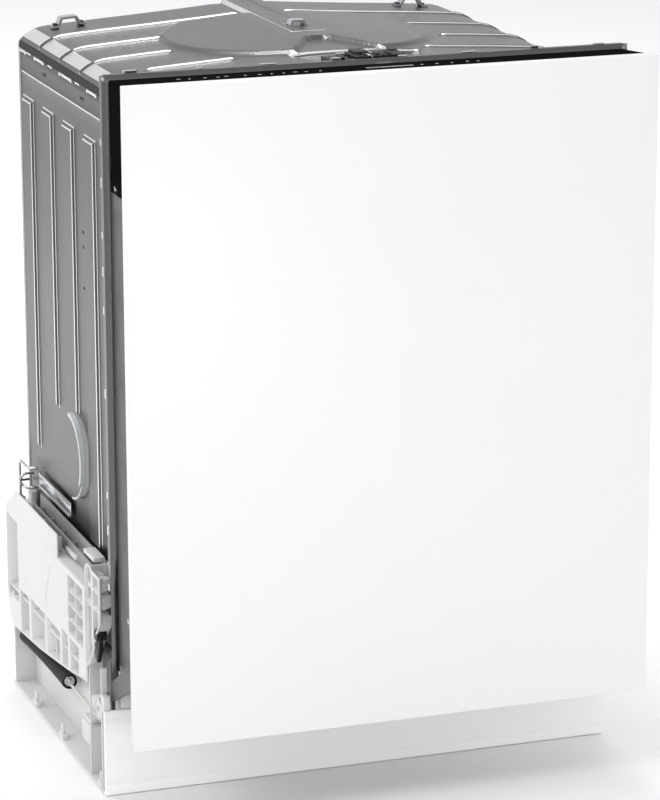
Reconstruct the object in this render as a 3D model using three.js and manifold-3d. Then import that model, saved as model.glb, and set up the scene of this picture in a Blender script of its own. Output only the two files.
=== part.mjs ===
// Fully integrated built-in dishwasher with its furniture panel on, door closed.
// Millimetres, +Z up, front towards -Y, origin on the floor under the middle of the bounding box.
import * as THREE from 'three';
import { mergeVertices } from 'three/addons/utils/BufferGeometryUtils.js';
import Module from 'manifold-3d';

const wasm = await Module();
wasm.setup();

// ---------------------------------------------------------------- driving dimensions
const width = 598; // over the base and the plinth
const height = 817; // floor to the top of the front frame
const depth = 550; // furniture panel to tub back
const gap = 0.3; // clearance between pieces that touch

// door
const panelMargin = 1; // panel and front frame inside the base's sides
const panelWidth = width - 2 * panelMargin;
const panelLift = 94.5; // panel bottom above the floor
const panelThickness = 16;
const panelDrop = 2.5; // panel top below the frame top
const doorInset = 8; // door shell inside the panel's edge
const doorWidth = panelWidth - 2 * doorInset;
const doorThickness = 68.4;
const shellSheet = 1.2;
const consoleHeight = 124;
const consoleWall = 3;
const consoleSlope = 6; // how far the strip drops towards the tub
const consoleTopDrop = 3; // strip front edge below the frame top
const hingeBack = 39; // hinge axis behind the panel face
const hingeHeight = 165;
const shellBottom = hingeHeight + gap;
const pinRadius = 5;
const armThickness = 4;

// tub
const tubInset = 33; // tub side inside the base's side
const tubWidth = width - 2 * tubInset;
const sheet = 1.2;
const roofRadius = 20;
const roofEdge = height - 23; // roof height where the corner arcs end
const roofCrown = 14.5; // rise of the roof from its edges to its middle
const roofSkirt = 8; // skirt below the corner arc, over the side sheets
const tubFloor = 200;
const tubFloorSheet = 1.5;
const trackHeight = 10.5; // wheel tracks above the tub floor
const padRise = 3;
const padWidth = 45;
const padPitch = 87.5;
const padBottoms = [300, 371, 384, 248]; // from the rear pad to the front one
const padTop = roofEdge - 79;
const frameWidth = panelWidth;
const frameBottom = hingeHeight - 7;
const frameSheet = 1.2;
const mouthInset = 8; // mouth edge inside the tub's side
const mouthWidth = tubWidth - 2 * mouthInset;
const mouthBottom = tubFloor + 4;
const mouthTop = height - 33;

// base
const plinthHeight = 100;
const plinthSetback = 121; // plinth face behind the panel face
const plinthThickness = 12;
const baseWall = 3;
const basePanFloor = 14;
const baseBack = 22; // lower base rear ahead of the tub back
const baseSideTop = 222;
const columnTop = 250;
const columnDepth = 56;
const footRadius = 18;
const footStem = 5;

// inside
const rackInset = 8; // rack space inside the mouth's edge
const rackWidth = mouthWidth - 2 * rackInset;
const rackAhead = 10; // rack front behind the tub's front edge
const rackBehind = 22.3; // rack rear ahead of the tub's back
const rackWall = 3;
const lowerRackRise = 24; // lower rack floor above the wheel tracks
const lowerRackHeight = 110;
const upperRackFloor = mouthTop - 304;
const upperRackHeight = 118;
const trayFloor = mouthTop - 76;
const trayHeight = 40;
const wheelRadius = 17;
const sprayClearance = 17.15; // arm tip to tub wall
const sprayArmHeight = 12;

// ---------------------------------------------------------------- places worked out from them
const front = -depth / 2;
const back = depth / 2;
const doorFront = front + panelThickness + gap;
const doorBack = doorFront + doorThickness;
const frameFront = doorBack + gap;
const frameBack = frameFront + frameSheet;
const tubFront = frameBack + gap;
const tubBackInner = back - sheet;
const tubHalf = tubWidth / 2;
const half = width / 2;
const doorHalf = doorWidth / 2;
const hingeY = front + hingeBack;
const plinthFront = front + plinthSetback;
const baseFront = plinthFront + plinthThickness + gap;
const baseRear = back - baseBack;
const panelTop = height - panelDrop;
const panelBottom = panelLift;
const consoleTop = height - consoleTopDrop;
const consoleBottom = consoleTop - consoleHeight;
const tubFloorTop = tubFloor + tubFloorSheet;
const trackTop = tubFloorTop + trackHeight;
const lowerRackFloor = trackTop + lowerRackRise;
const rackFront = tubFront + rackAhead;
const rackBack = tubBackInner - rackBehind;
const sprayRadius = Math.min(tubBackInner - tubFront, tubWidth - 2 * sheet) / 2 - sprayClearance;
const armOuter = doorHalf - shellSheet - gap;
const armInner = armOuter - armThickness;
const bracketOuter = armInner - gap;
const bracketThickness = 4.5;

// ---------------------------------------------------------------- materials
const paint = (color, roughness, metalness = 0) => new THREE.MeshStandardMaterial({ color, roughness, metalness });
const whiteBoard = paint(0xf3f3f2, 0.55);
const whitePlastic = paint(0xe6e5e3, 0.5);
const blackPlastic = paint(0x17181a, 0.35);
const blackGlass = paint(0x0c0d0f, 0.12);
const tubSteel = paint(0x8f9192, 0.35, 0.9);
const brightSteel = paint(0xc4c6c8, 0.25, 1);
const shellSteel = paint(0x6d7072, 0.4, 0.8);
const rubber = paint(0x3a3b3d, 0.85);
const greyPlastic = paint(0x9a9c9e, 0.5);
const clearPlastic = paint(0xe9ecee, 0.25);
const rackWire = paint(0xb9bcc0, 0.4, 0.3);
const boardGreen = paint(0x2f5b3c, 0.6);
const capBlue = paint(0x4a6f9a, 0.5);

// ---------------------------------------------------------------- shape helpers
const object = new THREE.Group();

function add(name, geometry, material) {
  const mesh = new THREE.Mesh(geometry, material);
  mesh.name = name;
  object.add(mesh);
  return mesh;
}

// Box between two corners.
function box(x0, x1, y0, y1, z0, z1) {
  const geometry = new THREE.BoxGeometry(x1 - x0, y1 - y0, z1 - z0);
  return geometry.translate((x0 + x1) / 2, (y0 + y1) / 2, (z0 + z1) / 2);
}

const shapeOf = (points) => new THREE.Shape(points.map(([u, v]) => new THREE.Vector2(u, v)));

const extrude = (points, length) =>
  new THREE.ExtrudeGeometry(shapeOf(points), { depth: length, bevelEnabled: false, steps: 1 });

// Outline in (y, z), drawn out along X.
function prismX(points, x0, x1) {
  const turn = new THREE.Matrix4().makeBasis(
    new THREE.Vector3(0, 1, 0), new THREE.Vector3(0, 0, 1), new THREE.Vector3(1, 0, 0));
  return extrude(points, x1 - x0).applyMatrix4(turn).translate(x0, 0, 0);
}

// Outline in (x, z), drawn out along Y.
function prismY(points, y0, y1) {
  const turn = new THREE.Matrix4().makeBasis(
    new THREE.Vector3(1, 0, 0), new THREE.Vector3(0, 0, 1), new THREE.Vector3(0, -1, 0));
  return extrude(points, y1 - y0).applyMatrix4(turn).translate(0, y1, 0);
}

// Outline in (x, y), drawn out along Z.
const prismZ = (points, z0, z1) => extrude(points, z1 - z0).translate(0, 0, z0);

// Round bar along an axis, from a to b on it, centred on the two other coordinates.
function bar(axis, radius, a, b, centre, sides = 20, radiusB = radius) {
  const geometry = new THREE.CylinderGeometry(radiusB, radius, b - a, sides);
  if (axis === 'x') return geometry.rotateZ(-Math.PI / 2).translate((a + b) / 2, centre[0], centre[1]);
  if (axis === 'y') return geometry.translate(centre[0], (a + b) / 2, centre[1]);
  return geometry.rotateX(Math.PI / 2).translate(centre[0], centre[1], (a + b) / 2);
}

function toManifold(geometry) {
  const plain = geometry.clone();
  plain.deleteAttribute('normal');
  plain.deleteAttribute('uv');
  const merged = mergeVertices(plain, 1e-4);
  return new wasm.Manifold(new wasm.Mesh({
    numProp: 3,
    vertProperties: new Float32Array(merged.attributes.position.array),
    triVerts: new Uint32Array(merged.index.array),
  }));
}

function toGeometry(solid) {
  const mesh = solid.getMesh();
  const geometry = new THREE.BufferGeometry();
  geometry.setAttribute('position', new THREE.BufferAttribute(mesh.vertProperties, 3));
  geometry.setIndex(new THREE.BufferAttribute(mesh.triVerts, 1));
  return geometry;
}

// Joins the first list of shapes and cuts the second list out of the result.
function build(joined, cuts = []) {
  let solid = joined.map(toManifold).reduce((a, b) => a.add(b));
  for (const cut of cuts) solid = solid.subtract(toManifold(cut));
  return toGeometry(solid);
}

const mirrored = (side, x0, x1) => (side < 0 ? [-x1, -x0] : [x0, x1]);

// Box whose x range is given for the right side and mirrored for the left one.
function sideBox(side, x0, x1, y0, y1, z0, z1) {
  return box(...mirrored(side, x0, x1), y0, y1, z0, z1);
}

const sidePrism = (side, points, x0, x1) => prismX(points, ...mirrored(side, x0, x1));

const sides = [['left', -1], ['right', 1]];

// ---------------------------------------------------------------- door
function makeDoor() {
  add('furniture_panel',
    box(-panelWidth / 2, panelWidth / 2, front, front + panelThickness, panelBottom, panelTop), whiteBoard);

  const shellTop = consoleBottom - gap;
  const bottomHalf = bracketOuter - bracketThickness - 2;
  add('door_outer_shell', build([
    box(-doorHalf, doorHalf, doorFront, doorFront + shellSheet, shellBottom, shellTop),
    ...sides.map(([, s]) => sideBox(s, doorHalf - shellSheet, doorHalf, doorFront, doorBack, shellBottom, shellTop)),
    box(-bottomHalf, bottomHalf, doorFront, doorBack, shellBottom, shellBottom + shellSheet),
  ]), shellSteel);

  const linerHalf = doorHalf - consoleWall - gap;
  const linerTop = consoleTop - consoleSlope - consoleWall - gap;
  const linerBottom = shellBottom + shellSheet + gap;
  add('door_inner_liner', build(
    [box(-linerHalf, linerHalf, doorBack - sheet, doorBack, linerBottom, linerTop)],
    [box(...dispenser.x.map((v, i) => v + (i ? gap : -gap)), doorBack - 10, doorBack + 10,
      dispenser.z[0] - gap, dispenser.z[1] + gap),
    box(-boltHalf - 1, boltHalf + 1, doorBack - 10, doorBack + 10, boltZ - 5, linerTop + 5)],
  ), brightSteel);

  const slopeAt = (y) => consoleTop - consoleSlope * (y - doorFront) / doorThickness;
  const cheek = [
    [doorFront, consoleBottom], [doorBack, consoleBottom], [doorBack, slopeAt(doorBack)], [doorFront, consoleTop]];
  const topSkin = [
    [doorFront, consoleTop - consoleWall], [doorBack, slopeAt(doorBack) - consoleWall],
    [doorBack, slopeAt(doorBack)], [doorFront, consoleTop]];
  const holes = keys.map((k) => box(k.x - keyLength / 2 - gap, k.x + keyLength / 2 + gap,
    keyY - keyDepth / 2 - gap, keyY + keyDepth / 2 + gap, consoleTop - 20, consoleTop + 5));
  const window = box(display.x - display.length / 2 - gap, display.x + display.length / 2 + gap,
    keyY - keyDepth / 2 - gap, keyY + keyDepth / 2 + gap, consoleTop - 20, consoleTop + 5);
  add('control_console', build([
    box(-doorHalf, doorHalf, doorFront, doorFront + consoleWall, consoleBottom, consoleTop - consoleWall),
    prismX(topSkin, -doorHalf, doorHalf),
    ...sides.map(([, s]) => sidePrism(s, cheek, doorHalf - consoleWall, doorHalf)),
  ], [...holes, window]), blackPlastic);

  const keyTop = slopeAt(keyY);
  add('display_window', box(display.x - display.length / 2, display.x + display.length / 2,
    keyY - keyDepth / 2, keyY + keyDepth / 2, keyTop - 4, keyTop - 0.6), blackGlass);
  for (const key of keys) {
    add(key.name, box(key.x - keyLength / 2, key.x + keyLength / 2, keyY - keyDepth / 2, keyY + keyDepth / 2,
      keyTop - 5, keyTop + 0.4), blackPlastic);
  }
  add('control_board', box(-180, 180, doorFront + consoleWall + 8, doorFront + consoleWall + 10,
    consoleBottom + 12, consoleTop - 22), boardGreen);

  makeDispenser();

  add('door_bottom_seal', box(-bottomHalf + 2, bottomHalf - 2, hingeY + 22, hingeY + 40,
    shellBottom - gap - 6, shellBottom - gap), rubber);
  add('door_striker', build([
    box(-22, 22, doorBack - 16, doorBack - sheet - gap, boltZ - 16, linerTop),
  ], [box(-boltHalf - 1, boltHalf + 1, doorBack - 12, doorBack + 5, boltZ - 5, linerTop + 5)]),
  brightSteel);
}

// latch at the top centre: its bolt enters the striker in the door top
const latch = { x: [-40, 46], depth: 46, top: height - 2 };
const boltHalf = 8;
const boltZ = mouthTop + 14;

// raised strap over the roof
const bridgeWidth = 46;
const bridgeLength = 265;

const keyLength = 15;
const keyDepth = 9;
const keyY = doorFront + 30;
const keys = [
  { name: 'key_power', x: -226 }, { name: 'key_program', x: -174 },
  { name: 'key_option', x: -98 }, { name: 'key_start', x: 96 }];
const display = { x: 8, length: 54 };

// ---------------------------------------------------------------- detergent dispenser
const dispenser = { x: [-95, 95], z: [455, 585], cupX: [-82, 12], cupZ: [470, 570], capX: 55, capZ: 520, capR: 22 };
const dispenserDepth = 34;
const lidThickness = 3; // the lid slides up over the liner's face
const lidRim = 6;

function makeDispenser() {
  const [x0, x1] = dispenser.x;
  const [z0, z1] = dispenser.z;
  const face = doorBack;
  add('dispenser_body', build(
    [box(x0, x1, face - dispenserDepth, face, z0, z1)],
    [
      box(...dispenser.cupX, face - dispenserDepth + 3, face + 5, ...dispenser.cupZ),
      bar('y', dispenser.capR + gap, face - 20, face + 5, [dispenser.capX, dispenser.capZ], 24),
    ],
  ), greyPlastic);
  add('dispenser_lid', box(dispenser.cupX[0] - lidRim, dispenser.cupX[1] + lidRim, face + gap,
    face + gap + lidThickness, dispenser.cupZ[0] - lidRim, dispenser.cupZ[1] + lidRim), greyPlastic);
  add('rinse_aid_cap', build([
    bar('y', dispenser.capR, face - 19.5, face - 4, [dispenser.capX, dispenser.capZ], 24),
    box(dispenser.capX - 18, dispenser.capX + 18, face - 4.5, face - gap, dispenser.capZ - 3, dispenser.capZ + 3),
  ]), capBlue);
}

// ---------------------------------------------------------------- door hinges, balance cords and springs
const hook = [100, -52]; // cord hook from the hinge axis, door closed
const pulley = { y: baseFront + 42, z: 84, radius: 14 };
const mechanismX = (armInner + armOuter) / 2;

function makeHinge(name, side) {
  const lever = [
    [-15, 3], [-6, -11], [hook[0] - 4, hook[1] - 9], [hook[0] + 8, hook[1] - 2], [hook[0] + 4, hook[1] + 8],
    [15, 8], [15, 105], [-15, 105]].map(([y, z]) => [hingeY + y, hingeHeight + z]);
  add(`hinge_arm_${name}`, build(
    [sidePrism(side, lever, armInner, armOuter)],
    [
      bar('x', pinRadius + gap, ...mirrored(side, armInner - 5, armOuter + 5), [hingeY, hingeHeight]),
      bar('x', 3, ...mirrored(side, armInner - 5, armOuter + 5), [hingeY + hook[0], hingeHeight + hook[1]], 12),
    ],
  ), brightSteel);
  const plate = [
    [hingeY - 10, hingeHeight + 4], [hingeY - 10, hingeHeight - 4], [hingeY - 4, hingeHeight - 11],
    [baseFront + 8, hingeHeight - 16], [baseFront + 8, 90], [baseFront + 40, 110], [baseFront + 40, hingeHeight - 2],
    [hingeY + 12, hingeHeight - 2], [hingeY + 7, hingeHeight + 8], [hingeY - 5, hingeHeight + 10]];
  add(`hinge_bracket_${name}`, build([
    sidePrism(side, plate, bracketOuter - bracketThickness, bracketOuter),
    bar('x', pinRadius, ...mirrored(side, bracketOuter - 1, armOuter - gap), [hingeY, hingeHeight]),
  ]), brightSteel);

  const x = mechanismX;
  const springBack = baseRear - bayInset - baseWall - 1;
  const springFront = pulley.y + 134;
  const springDrop = 9;
  const low = pulley.z - pulley.radius - 1;
  const length = springBack - springFront;
  const profile = [[0, 0], [9, 0], [9, length * 0.12], [7, length * 0.85], [5, length], [0, length]];
  const lathe = new THREE.LatheGeometry(profile.map(([r, t]) => new THREE.Vector2(r, t)), 16);
  lathe.rotateX(-Math.atan2(springDrop, length)).translate(side * x, springFront, low);
  add(`spring_sleeve_${name}`, lathe, rubber);
  const route = new THREE.LineCurve3(
    new THREE.Vector3(side * x, springFront - gap, low), new THREE.Vector3(side * x, pulley.y, low - 0.5));
  const cordRadius = 1.5;
  const ring = Array.from({ length: 8 }, (_, i) => [
    cordRadius * Math.cos(i * Math.PI / 4), cordRadius * Math.sin(i * Math.PI / 4)]);
  add(`pull_cord_${name}`,
    new THREE.ExtrudeGeometry(shapeOf(ring), { steps: 1, bevelEnabled: false, extrudePath: route }), whitePlastic);
  add(`cord_pulley_${name}`, build([
    bar('x', pulley.radius - 1.5, ...mirrored(side, x - 4, x + 4), [pulley.y, pulley.z], 24),
  ], [bar('x', 3, ...mirrored(side, x - 10, x + 10), [pulley.y, pulley.z], 12)]), blackPlastic);
}

// ---------------------------------------------------------------- tub
// Roof outline of one surface: the left side is walked up, over the crown and down the right side.
function roofLine(inset, bottom) {
  const x = tubHalf + gap + sheet;
  const r = roofRadius;
  const arc = 6;
  const left = [[-x + inset, bottom]];
  for (let i = 0; i <= arc; i += 1) {
    const a = Math.PI - i * Math.PI / 2 / arc;
    left.push([-x + r + (r - inset) * Math.cos(a), roofEdge - r + (r - inset) * Math.sin(a)]);
  }
  const right = left.map(([u, v]) => [-u, v]).reverse();
  return [...left, [0, roofEdge + roofCrown - inset], ...right];
}

function makeTub() {
  const skirtBottom = roofEdge - roofRadius - roofSkirt;
  add('tub_top', build(
    [prismY([...roofLine(0, skirtBottom), ...roofLine(sheet, skirtBottom).reverse()], tubFront, tubBackInner - gap)],
    [box(latch.x[0] - gap, latch.x[1] + gap, tubFront - 5, tubFront + latch.depth + gap, mouthTop, height + 10)],
  ), tubSteel);
  add('tub_back', prismY(roofLine(0, tubFloor), tubBackInner, back), tubSteel);
  for (const [name, s] of sides) {
    const pads = [0, 1, 2, 3].map((i) => {
      const yBack = back - 12 - i * padPitch;
      const bottom = padBottoms[i];
      return sideBox(s, tubHalf - sheet / 2, tubHalf + padRise, yBack - padWidth, yBack, bottom, padTop);
    });
    add(`tub_side_${name}`, build([
      sideBox(s, tubHalf - sheet, tubHalf, tubFront, tubBackInner - gap, tubFloorTop + gap,
        roofEdge - roofRadius - gap),
      ...pads,
    ]), tubSteel);
  }
  const floorHalf = tubHalf - sheet - gap;
  add('tub_floor', build([
    box(-tubHalf, tubHalf, tubFront, tubBackInner - gap, tubFloor, tubFloorTop),
    ...sides.map(([, s]) => sideBox(s, rackWidth / 2 - 18, floorHalf, tubFront + 2, tubBackInner - 4, tubFloorTop - 0.5,
      trackTop)),
    bar('z', 16, tubFloorTop - 0.5, sprayHub.z - gap, [sprayHub.x, sprayHub.y]),
  ], [
    bar('z', sumpRadius, tubFloor - 5, tubFloorTop + 5, [sump.x, sump.y], 32),
  ]), tubSteel);

  const slot = [armInner - bracketThickness - gap * 2 - 1, armOuter + 1.2];
  add('front_frame', build(
    [box(-frameWidth / 2, frameWidth / 2, frameFront, frameBack, frameBottom, height)],
    [
      box(-mouthWidth / 2, mouthWidth / 2, frameFront - 5, frameBack + 5, mouthBottom, mouthTop),
      ...sides.map(([, s]) => sideBox(s, ...slot, frameFront - 5, frameBack + 5, frameBottom - 5, hingeHeight + 110)),
      box(-boltHalf - 1, boltHalf + 1, frameFront - 5, frameBack + 5, boltZ - 5, boltZ + 5),
    ],
  ), tubSteel);

  const sealOuter = mouthWidth / 2 - gap;
  const sealInner = sealOuter - 7;
  const sealTop = mouthTop - gap;
  const sealBottom = trackTop + 1;
  add('tub_gasket', prismY([
    [-sealOuter, sealBottom], [-sealInner, sealBottom], [-sealInner, sealTop - 7], [sealInner, sealTop - 7],
    [sealInner, sealBottom], [sealOuter, sealBottom], [sealOuter, sealTop], [-sealOuter, sealTop],
  ], frameFront, frameFront + 8), rubber);

  const crown = roofEdge + roofCrown;
  add('top_bridge', box(-bridgeWidth / 2, bridgeWidth / 2, back - bridgeLength, back - 4, crown + gap, crown + 3.5),
    tubSteel);
}

// ---------------------------------------------------------------- latch
function makeLatch() {
  add('latch_housing', build(
    [box(...latch.x, tubFront, tubFront + latch.depth, mouthTop + gap, latch.top)],
    [box(-boltHalf - gap, boltHalf + gap, tubFront - 5, tubFront + latch.depth - 4, boltZ - 4 - gap, boltZ + 4 + gap)],
  ), blackPlastic);
  add('latch_bolt', box(-boltHalf, boltHalf, doorBack - 11, tubFront + 26, boltZ - 4, boltZ + 4), brightSteel);
}

// ---------------------------------------------------------------- water system
const sumpRadius = 62;
const riserTop = mouthTop - 2;
const sump = { x: 0, y: tubFront + 118.5 };
const pumpX = sump.x - 60; // circulation pump beside the rear foot
const saltX = tubHalf - 66;
const softenerY = tubFront + 158.5;
const sprayHub = { x: 0, y: tubFront + 15 + sprayRadius, z: trackTop + 9 };
const inlet = { x: 145, z: 62, outer: 13, inner: 9 };

function makeWaterSystem() {
  const sumpDepth = 86;
  const sumpProfile = [
    [0, 0], [34, 0], [sumpRadius - 8, sumpDepth - 20], [sumpRadius + 8, sumpDepth - gap], [sumpRadius - 2, sumpDepth - gap],
    [sumpRadius - 12, sumpDepth - 20], [31, 3], [0, 3]];
  const sumpShell = new THREE.LatheGeometry(sumpProfile.map(([r, t]) => new THREE.Vector2(r, t)), 24);
  add('sump', sumpShell.rotateX(Math.PI / 2).translate(sump.x, sump.y, tubFloor - sumpDepth), greyPlastic);
  add('filter_cup', build([
    bar('z', 30, tubFloor - 70, tubFloorTop + 3, [sump.x, sump.y], 24),
    box(sump.x - 22, sump.x + 22, sump.y - 3, sump.y + 3, tubFloorTop + 2.5, tubFloorTop + 16),
  ]), greyPlastic);
  add('circulation_pump', build([
    bar('y', 38, sump.y + 60, sump.y + 100, [pumpX, 72], 24),
    bar('y', 30, sump.y + 99, sump.y + 190, [pumpX, 72], 24),
    bar('y', 13, sump.y + 38, sump.y + 61, [pumpX, 72], 16),
  ]), blackPlastic);
  add('drain_pump', build([
    bar('x', 24, 60, 100, [sump.y, 70], 20),
    bar('x', 18, 99, 138, [sump.y, 70], 20),
  ]), blackPlastic);
  add('softener', build([
    box(saltX - 50, saltX + 52, softenerY - 50, softenerY + 120, 40, tubFloor - gap),
  ], [box(saltX - 44, saltX + 46, softenerY - 44, softenerY + 114, 46, tubFloor - 6),
    bar('z', 24, 150, tubFloor + 60, [saltX, softenerY], 24)]), whitePlastic);
  add('salt_cap', build([
    bar('z', 30, tubFloorTop + gap, tubFloorTop + 10, [saltX, softenerY], 24),
    box(saltX - 24, saltX + 24, softenerY - 3, softenerY + 3, tubFloorTop + 9, tubFloorTop + 16),
  ]), whitePlastic);
  add('inlet_valve', build([
    box(inlet.x - 25, inlet.x + 25, baseRear - 52, baseRear - baseWall - gap, inlet.z - 22, inlet.z + 22),
    bar('y', inlet.outer, baseRear - baseWall - 1, baseRear + 14, [inlet.x, inlet.z], 16),
  ], [bar('y', inlet.inner, baseRear - 20, baseRear + 20, [inlet.x, inlet.z], 16)]), whitePlastic);

  const riserY = tubBackInner - gap - 9;
  add('spray_riser', build([
    box(-12, 12, riserY - 6, riserY + 8, tubFloorTop + gap, riserTop),
    box(-12, 12, sprayHub.y - 12, riserY, riserTop - 10, riserTop),
  ]), greyPlastic);

  const ring = [];
  const hoopOuter = 52;
  const hoopInner = 47;
  for (let i = 0; i < 24; i += 1) ring.push(i * Math.PI / 12);
  const hoop = new THREE.Shape(ring.map((a) => new THREE.Vector2(hoopOuter * Math.cos(a), hoopOuter * Math.sin(a))));
  hoop.holes.push(new THREE.Path(
    [...ring].reverse().map((a) => new THREE.Vector2(hoopInner * Math.cos(a), hoopInner * Math.sin(a)))));
  const turn = new THREE.Matrix4().makeBasis(
    new THREE.Vector3(0, 1, 0), new THREE.Vector3(0, 0, 1), new THREE.Vector3(1, 0, 0));
  const hoopX = tubHalf + padRise + gap;
  add('air_break', new THREE.ExtrudeGeometry(hoop, { depth: 13, bevelEnabled: false })
    .applyMatrix4(turn).translate(-hoopX - 13, back - 215, tubFloor + 133), clearPlastic);
}

// Flat two-winged spray arm that turns about Z.
function sprayArm(name, radius, x, y, z) {
  const tip = 16;
  const root = 26;
  const outline = [];
  for (const turn of [0, Math.PI]) {
    for (let i = 0; i <= 6; i += 1) {
      const a = turn - Math.PI / 2 + i * Math.PI / 6;
      outline.push([(radius - tip) * Math.cos(turn) + tip * Math.cos(a), tip * Math.sin(a)]);
    }
    outline.push([root * 0.9 * Math.cos(turn), (turn ? -1 : 1) * root]);
    outline.push([-root * 0.9 * Math.cos(turn), (turn ? -1 : 1) * root]);
  }
  add(name, prismZ(outline, z, z + sprayArmHeight).translate(x, y, 0), greyPlastic);
}

// ---------------------------------------------------------------- racks

// Open-topped basket of one wall thickness.
function basket(x, y0, y1, z0, z1, extra = [], cuts = []) {
  return build([box(-x, x, y0, y1, z0, z1)].concat(extra),
    [box(-x + rackWall, x - rackWall, y0 + rackWall, y1 - rackWall, z0 + rackWall, z1 + 5), ...cuts]);
}

function makeRacks() {
  const x = rackWidth / 2 - 12;
  const wheels = [];
  for (const [, s] of sides) {
    for (const y of [rackFront + 90, rackFront + 200, rackBack - 150, rackBack - 45]) {
      wheels.push(bar('x', wheelRadius, ...mirrored(s, x - 1, x + 9), [y, trackTop + gap + wheelRadius], 16));
    }
  }
  add('lower_rack', basket(x, rackFront, rackBack, lowerRackFloor, lowerRackFloor + lowerRackHeight, wheels), rackWire);

  const railZ = upperRackFloor + upperRackHeight / 2;
  const runnerInner = rackWidth / 2 - 4;
  add('upper_rack', basket(runnerInner - 6, rackFront, rackBack, upperRackFloor, upperRackFloor + upperRackHeight,
    [
      ...sides.map(([, s]) =>
        sideBox(s, runnerInner - 7, runnerInner, rackFront + 20, rackBack, railZ - 8, railZ + 8)),
      bar('z', 12, upperRackFloor - 8 + gap, upperRackFloor + 1, [sprayHub.x, sprayHub.y]),
    ]
    ), rackWire);
  for (const [name, s] of sides) {
    add(`rack_rail_${name}`, build([
      sideBox(s, runnerInner + gap, tubHalf - sheet - gap, rackFront, rackBack + 6, railZ - 14, railZ + 14),
    ], [sideBox(s, runnerInner - 1, runnerInner + 6, rackFront - 1, rackBack + 10, railZ - 9, railZ + 9)]), brightSteel);
  }
  add('cutlery_tray', basket(runnerInner - 2, rackFront, rackBack, trayFloor, trayFloor + trayHeight), rackWire);
}

// ---------------------------------------------------------------- base
const bayInset = 8; // spring bay's rear wall ahead of the base rear
const feet = [
  ['foot_front_left', 69 - half, baseFront + 40], ['foot_front_right', half - 69, baseFront + 40],
  ['foot_rear', 0, baseRear - 40]];

function makeBase() {
  const innerX = half - 26;
  const outer = half;
  const w = baseWall;
  const topZ = basePanFloor + w;
  add('base_pan', build([
    box(-innerX + w + gap, innerX - w - gap, baseFront, baseRear, basePanFloor, topZ),
    box(-innerX + w + gap, innerX - w - gap, baseRear - w, baseRear, 0, 190),
    box(-innerX + w + gap, innerX - w - gap, baseFront, baseFront + w, 0, 130),
  ], [
    ...feet.map(([, x, y]) => bar('z', footStem + gap, -5, 60, [x, y], 16)),
    bar('y', inlet.outer + gap, baseRear - 10, baseRear + 10, [inlet.x, inlet.z], 16),
  ]), whitePlastic);
  for (const [name, x, y] of feet) {
    add(name, build([
      bar('z', footRadius, 0, 9, [x, y], 20),
      bar('z', footStem, 8, 62, [x, y], 12),
    ]), blackPlastic);
  }
  add('plinth', box(-half, half, plinthFront, plinthFront + plinthThickness, 0, plinthHeight), whitePlastic);

  for (const [name, s] of sides) makeBaseSide(name, s, innerX, outer, w);
  add('base_cover_left', sidePrism(-1, coverOutline(0), outer - w, outer), whitePlastic);
}

// Plate that closes the window of the left side; grown is how much wider its window is.
const coverOutline = (grown) => [
  [back - 77 + grown, 136 - grown], [back - 66 + grown, 214 + grown],
  [back - 238 - grown, 214 + grown], [back - 205 - grown, 139 - grown]];

// Open side moulding: inner wall, front column, upper outer wall over the open spring bay, foot flange.
function makeBaseSide(name, s, innerX, outer, w) {
  const bayTop = 122;
  const columnBack = baseFront + columnDepth;
  const profile = [
    [baseFront, 0], [baseRear, 0], [baseRear - 2, 73], [back - 6, 98], [back, 194], [back, baseSideTop],
    [columnBack, baseSideTop], [columnBack, columnTop], [baseFront, columnTop]];
  const frontSlot = [armInner - bracketThickness - 3, armOuter + 2.5];
  const shape = build([
    sidePrism(s, profile, innerX - w, innerX),
    sideBox(s, innerX - 1, outer, baseFront, baseRear, 0, w),
    sideBox(s, innerX - 1, outer, columnBack, back, baseSideTop - w, baseSideTop),
    sideBox(s, innerX - 1, outer, columnBack + 1, back - 8, bayTop - w, bayTop),
    sideBox(s, innerX - 1, outer, back - w - 6, back - 6, bayTop - w, baseSideTop),
    sideBox(s, innerX - 1, outer, baseRear - bayInset - w, baseRear - bayInset, 0, bayTop),
    sideBox(s, outer - w, outer, baseFront, columnBack, 0, columnTop),
    sideBox(s, outer - w, outer, columnBack - 1, back - 6, bayTop - w, baseSideTop),
    sideBox(s, innerX - 1, outer, baseFront, baseFront + w, 0, 145),
    sideBox(s, innerX - 1, outer, columnBack - w, columnBack, 0, columnTop - 2),
  ], [
    sideBox(s, ...frontSlot, baseFront - 5, baseFront + w + 1, 60, 150),
    sideBox(s, mechanismX - 8, mechanismX + 8, columnBack - w - 1, columnBack + 1, 58, 96),
    ...(s < 0 ? [sidePrism(s, coverOutline(gap), outer - w - 1, outer + 5)] : []),
  ]);
  add(`base_side_${name}`, shape, whitePlastic);
}

makeDoor();
for (const [name, side] of sides) makeHinge(name, side);
makeTub();
makeLatch();
makeWaterSystem();
sprayArm('lower_spray_arm', sprayRadius, sprayHub.x, sprayHub.y, sprayHub.z);
sprayArm('upper_spray_arm', sprayRadius - 20, sprayHub.x, sprayHub.y, upperRackFloor - 8 - sprayArmHeight);
sprayArm('ceiling_sprayer', 70, sprayHub.x, sprayHub.y, riserTop - 10 - gap - sprayArmHeight);
makeRacks();
makeBase();

export default object;
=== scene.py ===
"""Built-in dishwasher with its furniture panel on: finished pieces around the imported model."""

import math

import bmesh
import bpy
from mathutils import Matrix, Vector


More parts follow.
